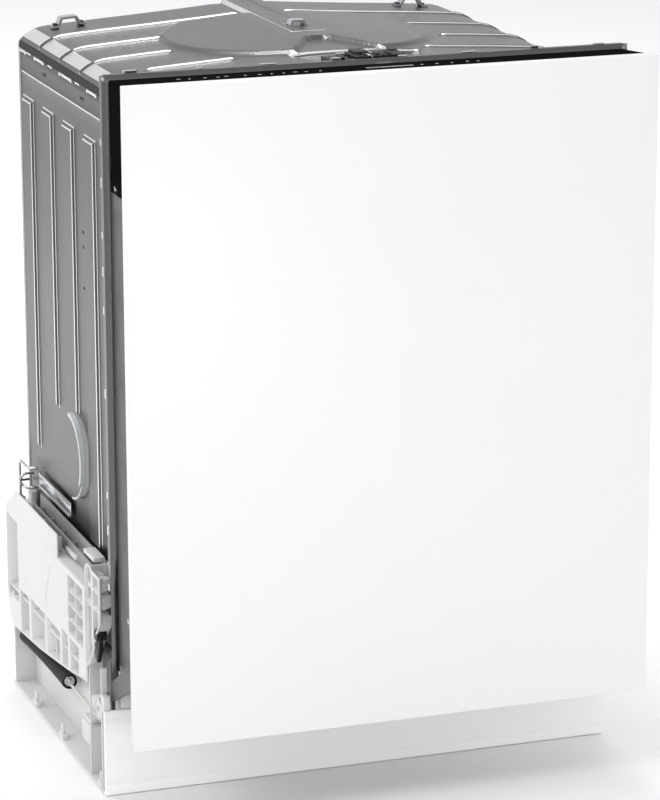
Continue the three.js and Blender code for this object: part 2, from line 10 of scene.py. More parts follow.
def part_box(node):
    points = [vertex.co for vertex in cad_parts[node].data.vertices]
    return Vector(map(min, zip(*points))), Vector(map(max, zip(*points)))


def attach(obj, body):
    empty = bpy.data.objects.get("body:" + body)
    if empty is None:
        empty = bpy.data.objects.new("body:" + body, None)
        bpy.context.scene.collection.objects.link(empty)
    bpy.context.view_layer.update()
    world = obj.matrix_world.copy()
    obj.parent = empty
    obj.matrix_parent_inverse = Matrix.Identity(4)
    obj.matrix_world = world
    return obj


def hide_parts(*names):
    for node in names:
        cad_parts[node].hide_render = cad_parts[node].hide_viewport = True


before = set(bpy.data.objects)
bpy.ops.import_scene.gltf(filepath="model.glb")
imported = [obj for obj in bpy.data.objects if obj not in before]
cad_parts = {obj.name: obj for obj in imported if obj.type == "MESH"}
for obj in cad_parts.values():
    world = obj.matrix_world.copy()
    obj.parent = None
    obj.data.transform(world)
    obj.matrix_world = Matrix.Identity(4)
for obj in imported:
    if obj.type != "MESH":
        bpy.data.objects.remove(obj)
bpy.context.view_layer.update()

bl_info = {
    "name": "Built-in dishwasher",
    "version": (1, 0, 0),
    "blender": (4, 5, 0),
    "location": "View3D > Sidebar > Dishwasher",
    "description": "Builds the pieces and finishes of a fully integrated dishwasher",
    "category": "Object",
}

MM = 0.001
SIDES = (("left", -1), ("right", 1))


def sizes():
    """Sizes set in the sidebar."""
    return bpy.context.scene.dishwasher_sizes


def node_box(node):
    """Lowest and highest x, y and z of a node, as three pairs in millimetres."""
    low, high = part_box(node)
    return [(a / MM, b / MM) for a, b in zip(low, high)]


def middle(pair):
    """Halfway between two numbers."""
    return sum(pair) / 2


def mirrored(side, a, b):
    """Range across from a to b on the left (-1) or right (1) side, lowest first."""
    return sorted((side * a, side * b))


# ---------------- shapes in millimetres
SOFT_ANGLE = 32  # edges sharper than this stay crisp, in degrees


def slab(bm, x, y, z, edge=0.5, steps=1):
    """Block between pairs of coordinates, with rounded edges."""
    verts = bmesh.ops.create_cube(bm, size=1.0)["verts"]
    for v in verts:
        v.co = Vector((
            x[0] + (v.co.x + 0.5) * (x[1] - x[0]),
            y[0] + (v.co.y + 0.5) * (y[1] - y[0]),
            z[0] + (v.co.z + 0.5) * (z[1] - z[0])))
    if edge:
        edges = list(dict.fromkeys(e for v in verts for e in v.link_edges))
        bmesh.ops.bevel(bm, geom=edges, offset=edge, segments=steps, profile=0.5, affect="EDGES",
                        clamp_overlap=True)


PLACES = {
    "x": lambda u, v, t: (t, u, v),
    "y": lambda u, v, t: (u, t, v),
    "z": lambda u, v, t: (u, v, t),
}


def prism(bm, outline, axis, a, b, edge=0.5, steps=1):
    """Outline in the two other coordinates, drawn out along an axis, with rounded edges."""
    place = PLACES[axis]
    low = [bm.verts.new(place(u, v, a)) for u, v in outline]
    high = [bm.verts.new(place(u, v, b)) for u, v in outline]
    count = len(outline)
    faces = [bm.faces.new(low), bm.faces.new(high[::-1])]
    for i in range(count):
        j = (i + 1) % count
        faces.append(bm.faces.new((low[j], low[i], high[i], high[j])))
    bmesh.ops.recalc_face_normals(bm, faces=faces)
    if edge:
        edges = list(dict.fromkeys(e for f in faces for e in f.edges))
        bmesh.ops.bevel(bm, geom=edges, offset=edge, segments=steps, profile=0.5, affect="EDGES",
                        clamp_overlap=True)


def lathe(bm, profile, axis, centre, sides=32, closed=False):
    """Profile of (radius, place along the axis) turned about an axis through the centre."""
    place = PLACES[axis]
    rings = []
    for radius, t in profile:
        count = sides if radius > 1e-6 else 1
        rings.append([bm.verts.new(place(
            centre[0] + radius * math.cos(2 * math.pi * i / sides),
            centre[1] + radius * math.sin(2 * math.pi * i / sides), t)) for i in range(count)])
    faces = []
    pairs = list(zip(rings, rings[1:])) + ([(rings[-1], rings[0])] if closed else [])
    for a, b in pairs:
        for i in range(sides):
            j = (i + 1) % sides
            corners = [a[i % len(a)], a[j % len(a)], b[j % len(b)], b[i % len(b)]]
            unique = list(dict.fromkeys(corners))
            if len(unique) > 2:
                faces.append(bm.faces.new(unique))
    bmesh.ops.recalc_face_normals(bm, faces=faces)


def sweep(bm, path, profile, normal=(0, 1, 0)):
    """Open path followed by a closed profile of (across, along the normal) points."""
    path = [Vector(p) for p in path]
    normal = Vector(normal)
    rings = []
    for i, p in enumerate(path):
        before = (p - path[i - 1]).normalized() if i else (path[1] - p).normalized()
        after = (path[i + 1] - p).normalized() if i + 1 < len(path) else before
        along = (before + after).normalized()
        across = along.cross(normal).normalized()
        stretch = 1 / max(0.3, along.dot(after))
        rings.append([bm.verts.new(p + across * u * stretch + normal * v) for u, v in profile])
    faces = [bm.faces.new(rings[0]), bm.faces.new(rings[-1][::-1])]
    for a, b in zip(rings, rings[1:]):
        for i in range(len(profile)):
            j = (i + 1) % len(profile)
            faces.append(bm.faces.new((a[j], a[i], b[i], b[j])))
    bmesh.ops.recalc_face_normals(bm, faces=faces)


def relief(bm, us, vs, place, keep=None, bright=None):
    """Sheet over the grid lines us and vs; place gives the point, keep drops cells and bright
    picks the cells that take the piece's second finish, a painted highlight."""
    grid = [[bm.verts.new(place(u, v)) for v in vs] for u in us]
    for i in range(len(us) - 1):
        for j in range(len(vs) - 1):
            if keep is None or keep((us[i] + us[i + 1]) / 2, (vs[j] + vs[j + 1]) / 2):
                face = bm.faces.new((grid[i][j], grid[i + 1][j], grid[i + 1][j + 1], grid[i][j + 1]))
                if bright and bright((us[i] + us[i + 1]) / 2, (vs[j] + vs[j + 1]) / 2):
                    face.material_index = 1
    loose = [v for row in grid for v in row if not v.link_faces]
    bmesh.ops.delete(bm, geom=loose, context="VERTS")


def lines(start, stop, step, extra=()):
    """Grid lines from start to stop, no further apart than step, with the extra ones among them."""
    stops = sorted({round(v, 4) for v in (start, stop, *extra) if start <= v <= stop})
    out = []
    for a, b in zip(stops, stops[1:]):
        count = max(1, math.ceil((b - a) / step - 1e-6))
        out += [a + (b - a) * i / count for i in range(count)]
    return out + [stops[-1]]


def around(places, offsets=(-4, -2.4, -1.2, 0, 1.2, 2.4, 4)):
    """Grid lines close to each of the places, for a crisp bead or edge there."""
    return [p + o for p in places for o in offsets]


def ease(value):
    """Smooth rise from 0 to 1."""
    t = min(1.0, max(0.0, value))
    return t * t * (3 - 2 * t)


def fall_off(distance, reach):
    """1 at an edge, falling smoothly to 0 at a distance from it."""
    return 1 - ease(distance / reach)


def ridge(value, middle_line, width):
    """Rounded bead: 1 on its middle line, almost 0 two widths away."""
    return math.exp(-((value - middle_line) / width) ** 2)


def plateau(value, low, high, wall):
    """1 between low and high, falling to 0 over a wall on each side."""
    return ease((value - low) / wall) * ease((high - value) / wall)


def table(points):
    """Straight-line reading between (place, value) points."""
    def read(place):
        if place <= points[0][0]:
            return points[0][1]
        for (a, va), (b, vb) in zip(points, points[1:]):
            if place <= b:
                return va + (vb - va) * (place - a) / (b - a)
        return points[-1][1]
    return read


def ring_points(centre, radius, count):
    """Points evenly round a circle."""
    return [(centre[0] + radius * math.cos(a), centre[1] + radius * math.sin(a))
            for a in [2 * math.pi * k / count for k in range(count)]]


def around_point(u, v, half):
    """Square ranges round a point, for a small block."""
    return (u - half, u + half), (v - half, v + half)


def arc(centre, radius, start, stop, count):
    """Points on an arc, with its angles in degrees."""
    return [(centre[0] + radius * math.cos(math.radians(start + (stop - start) * i / count)),
             centre[1] + radius * math.sin(math.radians(start + (stop - start) * i / count)))
            for i in range(count + 1)]


def rounded(u, v, radius, count=4):
    """Rectangle between two pairs, with round corners."""
    return (arc((u[1] - radius, v[0] + radius), radius, -90, 0, count)
            + arc((u[1] - radius, v[1] - radius), radius, 0, 90, count)
            + arc((u[0] + radius, v[1] - radius), radius, 90, 180, count)
            + arc((u[0] + radius, v[0] + radius), radius, 180, 270, count))


# ---------------- finished pieces
def new_object(name, mesh):
    """Object of that name, placed in the scene."""
    made = bpy.data.objects.new(name, mesh)
    bpy.context.scene.collection.objects.link(made)
    return made


def enrol(made, body, stands_for=()):
    """Body and replaced nodes of a piece."""
    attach(made, body)
    if stands_for:
        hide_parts(*stands_for)
    return made


def piece(name, bm, body, slot, finish=None, stands_for=(), wall=0, soft=SOFT_ANGLE, outward=None,
          painted_highlight_finish=None, inside=None):
    """Turns a mesh under construction into a finished piece of the machine."""
    if outward is not None:
        bm.normal_update()
        total = sum((f.normal * f.calc_area() for f in bm.faces), Vector())
        if total.dot(Vector(outward)) < 0:
            bmesh.ops.reverse_faces(bm, faces=bm.faces[:])
    for v in bm.verts:
        v.co *= MM
    mesh = bpy.data.meshes.new(name)
    bm.to_mesh(mesh)
    bm.free()
    mesh.polygons.foreach_set("use_smooth", [True] * len(mesh.polygons))
    mesh.set_sharp_from_angle(angle=math.radians(soft))
    made = new_object(name, mesh)
    mesh.materials.append(material(finish or slot))
    # second finish: the painted highlight on the cells that relief() marks bright
    if painted_highlight_finish:
        mesh.materials.append(material(painted_highlight_finish))
    if wall:
        thicken = made.modifiers.new("wall", "SOLIDIFY")
        thicken.thickness = wall * MM
        thicken.offset = -1
        if inside:  # the sheet's other face
            mesh.materials.append(material(inside))
            thicken.material_offset = len(mesh.materials) - 1
    return enrol(made, body, stands_for)


def node_group(name, kind, inputs, outputs):
    """Node group with its sockets, and its input and output nodes."""
    tree = bpy.data.node_groups.new(name, kind)
    for label, socket_type, default in inputs:
        socket = tree.interface.new_socket(label, in_out="INPUT", socket_type=socket_type)
        if default is not None:
            socket.default_value = default
    for label, socket_type in outputs:
        tree.interface.new_socket(label, in_out="OUTPUT", socket_type=socket_type)
    return tree, tree.nodes.new("NodeGroupInput"), tree.nodes.new("NodeGroupOutput")


def geometry_tree(name, inputs):
    """Geometry nodes that change a piece's mesh."""
    return node_group(name, "GeometryNodeTree", [("Geometry", "NodeSocketGeometry", None), *inputs],
                      [("Geometry", "NodeSocketGeometry")])


def connect(links, *rows):
    """Joins the sockets of each (node, its output, node, its input) row."""
    for source, out, target, into in rows:
        links.new(source.outputs[out], target.inputs[into])


def preset(node, values):
    """Sets inputs of a node by name."""
    for label, value in values.items():
        node.inputs[label].default_value = value


def wire_tree():
    """Round wire drawn along every edge path, with every turn rounded to one radius."""
    found = bpy.data.node_groups.get("wire_along_paths")
    if found:
        return found
    tree, inputs, outputs = geometry_tree("wire_along_paths", [
        ("Radius", "NodeSocketFloat", 0.0015), ("Bend", "NodeSocketFloat", 0.006),
        ("Sides", "NodeSocketInt", 8), ("Material", "NodeSocketMaterial", None)])
    n, link = tree.nodes, tree.links
    curve = n.new("GeometryNodeMeshToCurve")
    fillet = n.new("GeometryNodeFilletCurve")
    ring = n.new("GeometryNodeCurvePrimitiveCircle")
    tube = n.new("GeometryNodeCurveToMesh")
    real = n.new("GeometryNodeRealizeInstances")
    smooth = n.new("GeometryNodeSetShadeSmooth")
    coat = n.new("GeometryNodeSetMaterial")
    if "Mode" in fillet.inputs:
        fillet.inputs["Mode"].default_value = "Poly"
    elif hasattr(fillet, "mode"):
        fillet.mode = "POLY"
    fillet.inputs["Count"].default_value = 3
    fillet.inputs["Limit Radius"].default_value = True
    tube.inputs["Fill Caps"].default_value = True
    connect(link,
            (inputs, "Geometry", curve, "Mesh"), (curve, "Curve", fillet, "Curve"),
            (inputs, "Bend", fillet, "Radius"), (inputs, "Radius", ring, "Radius"),
            (inputs, "Sides", ring, "Resolution"), (fillet, "Curve", tube, "Curve"),
            (ring, "Curve", tube, "Profile Curve"), (tube, "Mesh", smooth, "Geometry"),
            (smooth, "Geometry", real, "Geometry"), (real, "Geometry", coat, "Geometry"),
            (inputs, "Material", coat, "Material"), (coat, "Geometry", outputs, "Geometry"))
    return tree


def repeat_tree():
    """One small part set on every point, turned as the point says."""
    found = bpy.data.node_groups.get("part_on_points")
    if found:
        return found
    tree, inputs, outputs = geometry_tree(
        "part_on_points",
        [("Part", "NodeSocketObject", None), ("Size", "NodeSocketFloat", 1.0),
         ("Material", "NodeSocketMaterial", None)])
    n, link = tree.nodes, tree.links
    info = n.new("GeometryNodeObjectInfo")
    turn = n.new("GeometryNodeInputNamedAttribute")
    turn.data_type = "FLOAT_VECTOR"
    turn.inputs["Name"].default_value = "turn"
    points = n.new("GeometryNodeMeshToPoints")
    spread = n.new("GeometryNodeInstanceOnPoints")
    real = n.new("GeometryNodeRealizeInstances")
    coat = n.new("GeometryNodeSetMaterial")
    connect(link,
            (inputs, "Part", info, "Object"), (inputs, "Geometry", points, "Mesh"),
            (points, "Points", spread, "Points"), (info, "Geometry", spread, "Instance"),
            (turn, "Attribute", spread, "Rotation"), (inputs, "Size", spread, "Scale"),
            (spread, "Instances", real, "Geometry"), (real, "Geometry", coat, "Geometry"),
            (inputs, "Material", coat, "Material"), (coat, "Geometry", outputs, "Geometry"))
    return tree


def grow(made, tree, values):
    """Runs a geometry tree on an object and keeps the result as its plain mesh."""
    modifier = made.modifiers.new(tree.name, "NODES")
    modifier.node_group = tree
    for item in tree.interface.items_tree:
        if item.in_out == "INPUT" and item.name in values:
            modifier[item.identifier] = values[item.name]
    bpy.context.view_layer.update()
    mesh = bpy.data.meshes.new_from_object(made.evaluated_get(bpy.context.evaluated_depsgraph_get()))
    old = made.data
    made.modifiers.remove(modifier)
    made.data = mesh
    bpy.data.meshes.remove(old)
    mesh.name = made.name


def wires(name, paths, radius, body, slot, finish=None, bend=6, sides=None, stands_for=()):
    """Wires along paths of points in millimetres; a path that returns to its start is closed."""
    points, edges = [], []
    for path in paths:
        closed = path[0] == path[-1]
        path = path[:-1] if closed else path
        first = len(points)
        points += [Vector(p) * MM for p in path]
        edges += [(first + i, first + i + 1) for i in range(len(path) - 1)]
        if closed:
            edges.append((first + len(path) - 1, first))
    mesh = bpy.data.meshes.new(name)
    mesh.from_pydata(points, edges, [])
    made = new_object(name, mesh)
    grow(made, wire_tree(),
         {"Radius": radius * MM, "Bend": bend * MM, "Sides": sides or sizes().wire_sides,
          "Material": material(finish or slot)})
    return enrol(made, body, stands_for)


def repeats(name, stencil, places, body, slot, finish=None, stands_for=()):
    """Copies of a small part at (x, y, z, turn x, turn y, turn z), in millimetres and degrees."""
    for v in stencil.verts:
        v.co *= MM
    mould = bpy.data.meshes.new(name + "_mould")
    stencil.to_mesh(mould)
    stencil.free()
    mould.polygons.foreach_set("use_smooth", [True] * len(mould.polygons))
    mould.set_sharp_from_angle(angle=math.radians(SOFT_ANGLE))
    part = new_object(name + "_mould", mould)
    mesh = bpy.data.meshes.new(name)
    mesh.from_pydata([Vector(p[:3]) * MM for p in places], [], [])
    turn = mesh.attributes.new("turn", "FLOAT_VECTOR", "POINT")
    for i, p in enumerate(places):
        turn.data[i].vector = [math.radians(a) for a in (tuple(p[3:]) + (0, 0, 0))[:3]]
    made = new_object(name, mesh)
    grow(made, repeat_tree(), {"Part": part, "Size": 1.0, "Material": material(finish or slot)})
    bpy.data.objects.remove(part)
    bpy.data.meshes.remove(mould)
    return enrol(made, body, stands_for)


# ---------------- finishes
def grain_group():
    """Fine moulded or lacquered grain: a height and a slow tone."""
    found = bpy.data.node_groups.get("fine_grain")
    if found:
        return found
    tree, inputs, outputs = node_group("fine_grain", "ShaderNodeTree", [
        ("Vector", "NodeSocketVector", None), ("Grain Scale", "NodeSocketFloat", 900.0),
        ("Patch Scale", "NodeSocketFloat", 6.0), ("Stretch", "NodeSocketVector", (1.0, 1.0, 1.0))],
        [("Height", "NodeSocketFloat"), ("Tone", "NodeSocketFloat")])
    n, link = tree.nodes, tree.links
    scale = n.new("ShaderNodeVectorMath")
    scale.operation = "MULTIPLY"
    fine = n.new("ShaderNodeTexNoise")
    fine.inputs["Detail"].default_value = 3.0
    patch = n.new("ShaderNodeTexNoise")
    patch.inputs["Detail"].default_value = 4.0
    streak = n.new("ShaderNodeMath")
    streak.operation = "MULTIPLY_ADD"
    streak.inputs[1].default_value = 0.45
    half = n.new("ShaderNodeMath")
    half.operation = "MULTIPLY"
    half.inputs[1].default_value = 0.55
    connect(link,
            (inputs, "Vector", scale, 0), (inputs, "Stretch", scale, 1),
            (scale, 0, fine, "Vector"), (inputs, "Grain Scale", fine, "Scale"),
            (inputs, "Vector", patch, "Vector"), (inputs, "Patch Scale", patch, "Scale"),
            (patch, "Fac", half, 0), (fine, "Fac", streak, 0),
            (half, 0, streak, 2), (fine, "Fac", outputs, "Height"),
            (streak, 0, outputs, "Tone"))
    return tree


# name: colour, its darker and lighter share, roughness low and high, metallic, coat, specular,
#       grain scale, stretch, patch scale, bump strength
FINISHES = {
    "white_board": ((0.77, 0.77, 0.767), 0.98, 1.0, 0.34, 0.42, 0.0, 0.0, 700, (1, 1, 1), 4, 0.03),
    # lighter copy of the white for the plinth: painted light against the shade under the panel
    "plinth_white": ((0.9, 0.9, 0.895), 0.98, 1.0, 0.36, 0.46, 0.0, 0.0, 900, (1, 1, 1), 5, 0.04),
    "white_plastic": ((0.68, 0.68, 0.67), 0.94, 1.03, 0.42, 0.56, 0.0, 0.0, 1400, (1, 1, 1), 9, 0.12),
    "black_plastic": ((0.012, 0.0125, 0.014), 0.7, 1.5, 0.3, 0.46, 0.0, 0.0, 2200, (1, 1, 1), 12, 0.15),
    "black_glass": ((0.004, 0.004, 0.005), 0.8, 1.2, 0.04, 0.09, 0.0, 0.4, 300, (1, 1, 1), 8, 0.0),
    "tub_steel": ((0.095, 0.098, 0.099), 0.8, 1.16, 0.26, 0.4, 0.92, 0.0, 900, (0.12, 1, 1), 5, 0.08),
    # lighter copy of tub_steel for the roof, the bridge and the front flange: painted light on the same
    # steel
    "roof_steel": ((0.138, 0.138, 0.139), 0.9, 1.08, 0.24, 0.34, 0.95, 0.0, 900, (0.12, 1, 1), 5, 0.06),
    # near-white copy of the steel, painted on edges and flanks as highlights
    "burnished_steel": ((0.84, 0.84, 0.845), 0.95, 1.03, 0.2, 0.3, 0.95, 0.0, 1200, (0.12, 1, 1), 8, 0.04),
    "strip_black": ((0.006, 0.006, 0.007), 0.7, 1.5, 0.4, 0.55, 0.0, 0.0, 2200, (1, 1, 1), 12, 0.12),
    "inner_steel": ((0.56, 0.57, 0.575), 0.9, 1.08, 0.2, 0.34, 1.0, 0.0, 900, (1, 0.08, 1), 5, 0.05),
    "bright_steel": ((0.6, 0.61, 0.62), 0.86, 1.1, 0.16, 0.32, 1.0, 0.0, 1500, (1, 0.1, 1), 9, 0.05),
    "shell_steel": ((0.12, 0.124, 0.126), 0.82, 1.2, 0.4, 0.55, 0.5, 0.0, 1000, (1, 1, 0.1), 6, 0.06),
    "dark_rubber": ((0.03, 0.03, 0.032), 0.75, 1.35, 0.6, 0.78, 0.0, 0.0, 1800, (1, 1, 1), 14, 0.2),
    "grey_plastic": ((0.27, 0.275, 0.28), 0.88, 1.1, 0.38, 0.52, 0.0, 0.0, 1700, (1, 1, 1), 10, 0.12),
    "rack_wire": ((0.3, 0.31, 0.325), 0.85, 1.1, 0.3, 0.44, 0.1, 0.25, 1300, (1, 1, 1), 16, 0.08),
    "board_green": ((0.03, 0.12, 0.05), 0.7, 1.3, 0.35, 0.5, 0.0, 0.0, 900, (1, 1, 1), 25, 0.15),
    "cap_blue": ((0.07, 0.16, 0.34), 0.85, 1.15, 0.34, 0.46, 0.0, 0.0, 1500, (1, 1, 1), 14, 0.1),
    "dark_steel": ((0.12, 0.123, 0.127), 0.8, 1.2, 0.36, 0.5, 0.8, 0.0, 900, (1, 0.15, 1), 7, 0.08),
    "print_white": ((0.7, 0.7, 0.7), 0.95, 1.03, 0.4, 0.5, 0.0, 0.0, 1200, (1, 1, 1), 9, 0.03),
    "cream_cord": ((0.66, 0.65, 0.61), 0.85, 1.08, 0.65, 0.8, 0.0, 0.0, 2600, (1, 0.25, 1), 20, 0.35),
}
# specular of what stays dark at a flat angle
DULL = {"black_plastic": 0.18, "dark_rubber": 0.15, "strip_black": 0.0}
COAT_ROUGHNESS = 0.12
TONE_SPAN = (0.3, 0.7)  # share of the grain's tone that the colours are spread over
BUMP_DEPTH = 0.0004


def new_material(name):
    """Material with its nodes, its links and its shader."""
    made = bpy.data.materials.new("finish_" + name)
    made.use_nodes = True
    n = made.node_tree.nodes
    return made, n, made.node_tree.links, n["Principled BSDF"]


def grained(n, link, shader, scales, colours, gloss, span):
    """Colour and roughness that follow the fine grain's tone; returns the grain."""
    place = n.new("ShaderNodeTexCoord")
    surface = n.new("ShaderNodeGroup")
    surface.node_tree = grain_group()
    preset(surface, scales)
    shade = n.new("ShaderNodeValToRGB")
    for element, position, colour in zip(shade.color_ramp.elements, span, colours):
        element.position = position
        element.color = (*colour, 1)
    rough = n.new("ShaderNodeMapRange")
    preset(rough, {"From Min": span[0], "From Max": span[1], "To Min": gloss[0], "To Max": gloss[1]})
    connect(link, (place, "Object", surface, "Vector"), (surface, "Tone", shade, "Fac"),
            (surface, "Tone", rough, "Value"), (shade, "Color", shader, "Base Color"),
            (rough, "Result", shader, "Roughness"))
    return surface


def material(name):
    """Procedural finish of that name, made once."""
    found = bpy.data.materials.get("finish_" + name)
    if found:
        return found
    if name == "clear_plastic":
        return clear_material()
    if name == "stage_floor":
        return floor_material()
    colour, dark, light, smooth, rough, metal, coat, grain, stretch, patch, bump = FINISHES[name]
    colour = getattr(bpy.context.scene.dishwasher_colours, name, colour)
    made, n, link, shader = new_material(name)
    preset(shader, {"Metallic": metal, "Coat Weight": coat, "Coat Roughness": COAT_ROUGHNESS})
    if name in DULL:
        preset(shader, {"Specular IOR Level": DULL[name]})
    surface = grained(n, link, shader, {"Grain Scale": grain, "Patch Scale": patch, "Stretch": stretch},
                      [[c * share for c in colour] for share in (dark, light)], (smooth, rough), TONE_SPAN)
    if bump:
        rise = n.new("ShaderNodeBump")
        preset(rise, {"Strength": bump, "Distance": BUMP_DEPTH})
        connect(link, (surface, "Height", rise, "Height"), (rise, "Normal", shader, "Normal"))
    return made


def clear_material():
    """Milky translucent plastic."""
    made, n, link, shader = new_material("clear_plastic")
    preset(shader, {"Transmission Weight": 0.2, "IOR": 1.45})
    grained(n, link, shader, {"Grain Scale": 800, "Patch Scale": 18},
            [(0.62, 0.64, 0.65), (0.85, 0.87, 0.88)], (0.2, 0.4), (0, 1))
    return made


def floor_material():
    """Pale matt floor and backdrop."""
    made, _, _, shader = new_material("stage_floor")
    preset(shader, {"Base Color": (0.92, 0.92, 0.92, 1), "Roughness": 0.75})
    return made


def coat_node(node, finish):
    """Gives a carried-over node its finish."""
    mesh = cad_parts[node].data
    mesh.materials.clear()
    mesh.materials.append(material(finish))


# ---------------- shared places, in millimetres
PANEL = node_box("furniture_panel")
SHELL = node_box("door_outer_shell")
LINER = node_box("door_inner_liner")
CONSOLE = node_box("control_console")
FRAME = node_box("front_frame")
ROOF = node_box("tub_top")
BACK = node_box("tub_back")
SIDE_RIGHT = node_box("tub_side_right")
FLOOR = node_box("tub_floor")
BRIDGE = node_box("top_bridge")
LATCH = node_box("latch_housing")
BASE = node_box("base_side_right")
PLINTH = node_box("plinth")
ARM = node_box("hinge_arm_right")
FRONT = PANEL[1][0]  # foremost plane; the y of a piece is often this plus its depth
TUB_HALF = SIDE_RIGHT[0][1] - 3
BASE_HALF = BASE[0][1]


def behind(depth):
    """y of a place that far behind the panel's face."""
    return FRONT + depth


def span(a, b):
    """Range of y between two depths behind the panel's face."""
    return behind(a), behind(b)


# ---------------- door
def make_door_panel():
    """Furniture panel on the door."""
    bm = bmesh.new()
    x, y, z = PANEL
    slab(bm, x, y, z, sizes().panel_edge / MM, 3)
    piece("door_panel", bm, "door", "white_board", stands_for=["furniture_panel"])


def console_top(y):
    """Height of the control strip's sloping top."""
    share = (y - CONSOLE[1][0]) / (CONSOLE[1][1] - CONSOLE[1][0])
    return CONSOLE[2][1] - 6 * share


KEYS = ("key_power", "key_program", "key_option", "key_start")
MARK_PLACES = (-214, -197, -183, -153, -137, -124, -111, -86, -70, 44, 61, 78, 108)  # across the strip


def make_console():
    """Control strip with its keys, marks and display."""
    bm = bmesh.new()
    x, y, z = CONSOLE
    openings = [node_box(n) for n in (*KEYS, "display_window")]
    slots = [(b[0][0] - 0.3, b[0][1] + 0.3, b[1][0] - 0.3, b[1][1] + 0.3) for b in openings]
    us = lines(x[0], x[1], 30, [v for s in slots for v in s[:2]])
    vs = lines(y[0], y[1], 6, [v for s in slots for v in s[2:]] + [y[0] + 1, y[0] + 0.4, y[0] + 2])
    lip = table([(y[0], 1.6), (y[0] + 0.4, 0.7), (y[0] + 1, 0.25), (y[0] + 2, 0)])
    relief(bm, us, vs, lambda u, v: (u, v, console_top(v) - lip(v)),
           lambda u, v: not any(a < u < b and c < v < d for a, b, c, d in slots))
    piece("control_strip_top", bm, "door", "black_plastic", "strip_black", wall=3, outward=(0, 0, 1))
    bm = bmesh.new()
    slab(bm, x, (y[0], y[0] + 3), (z[0], z[1] - 4.8), 0.6)
    for _, s in SIDES:
        prism(bm,
              [(y[0] + 0.1, z[0]), (y[0] + 24, z[0]), (y[1], z[0] + 11), (y[1], console_top(y[1]) - 3.1),
               (y[0] + 3, console_top(y[0]) - 3.4)], "x", *mirrored(s, x[1], x[1] - 3), 0.5)
        for k in range(4):  # ribs moulded on the end
            prism(bm, rounded((y[0] + 14, y[1] - 8), (z[0] + 30 + 21 * k, z[0] + 31.4 + 21 * k), 0.6, 2),
                  "x", *mirrored(s, x[1] + 0.01, x[1] - 1.4), 0.2)
    slab(bm, (x[0] + 4, x[1] - 4), (y[1] - 2.6, y[1] - 1.5), (z[1] - 28, z[1] - 11), 0.3)
    piece("control_strip_shell", bm, "door", "black_plastic", "strip_black", stands_for=["control_console"])

    key_z = console_top(openings[0][1][0] + 4.5)
    for name, b in zip(KEYS, openings):
        bm = bmesh.new()
        outline = rounded(b[0], b[1], 1.6, 3)
        prism(bm, outline, "z", b[2][0], key_z + 0.35, 0.5, 2)
        piece(name + "_cap", bm, name, "black_plastic", "strip_black", stands_for=[name])
        bm = bmesh.new()
        cx, cy = middle(b[0]), middle(b[1])
        if name == "key_power":
            lathe(bm, [(1.5, key_z + 0.3), (1.5, key_z + 0.45), (1.95, key_z + 0.45), (1.95, key_z + 0.3)],
                  "z", (cx, cy), 24, closed=True)
        elif name == "key_start":
            prism(bm, [(cx - 1.6, cy - 1.7), (cx + 1.8, cy), (cx - 1.6, cy + 1.7)], "z", key_z + 0.3,
                  key_z + 0.45, 0)
        else:
            for k in (-1, 1):
                slab(bm, (cx - 2.4, cx + 2.4), (cy + k * 1.1 - 0.25, cy + k * 1.1 + 0.25),
                     (key_z + 0.3, key_z + 0.45), 0)
        piece(name + "_mark", bm, name, "black_plastic", "print_white")

    d = openings[4]
    bm = bmesh.new()
    prism(bm, rounded(d[0], d[1], 1.2, 3), "z", d[2][0], key_z - 0.25, 0.2)
    piece("display_glass", bm, "door", "black_glass", stands_for=["display_window"])
    make_digits(d, key_z - 0.22)
    marks = bmesh.new()
    y_mid = middle(openings[0][1])
    for k, place in enumerate(MARK_PLACES):
        z = key_z + 0.12
        if k % 3 == 0:
            lathe(marks, [(1.1, z - 0.2), (1.1, z), (1.5, z), (1.5, z - 0.2)], "z", (place, y_mid), 20,
                  closed=True)
            slab(marks, (place - 0.25, place + 0.25), (y_mid - 0.9, y_mid + 0.9), (z - 0.2, z), 0)
        elif k % 3 == 1:
            for j in (-1, 0, 1):
                slab(marks, (place - 1.8, place + 1.8), (y_mid + j * 1.2 - 0.22, y_mid + j * 1.2 + 0.22),
                     (z - 0.2, z), 0)
        else:
            prism(marks, [(place, y_mid + 1.8), (place - 1.7, y_mid - 1), (place + 1.7, y_mid - 1)], "z",
                  z - 0.2, z, 0)
            slab(marks, (place - 1.7, place + 1.7), (y_mid - 1.9, y_mid - 1.5), (z - 0.2, z), 0)
    piece("control_strip_marks", marks, "door", "black_plastic", "print_white")
    coat_node("control_board", "board_green")
    bm = bmesh.new()
    board = node_box("control_board")
    for k in range(9):
        cx = board[0][0] + 22 + 39 * k
        cz = middle(board[2]) + (8 if k % 2 else -8)
        if k % 3:
            slab(bm, (cx - 7, cx + 7), (board[1][1] - 0.01, board[1][1] + 3 + k % 2), (cz - 6, cz + 6), 0.4)
        else:
            lathe(bm,
                  [(0, board[1][1] - 0.01), (5, board[1][1] - 0.01), (5, board[1][1] + 9),
                   (0, board[1][1] + 9)], "y", (cx, cz), 16)
    piece("control_board_parts", bm, "door", "black_plastic")


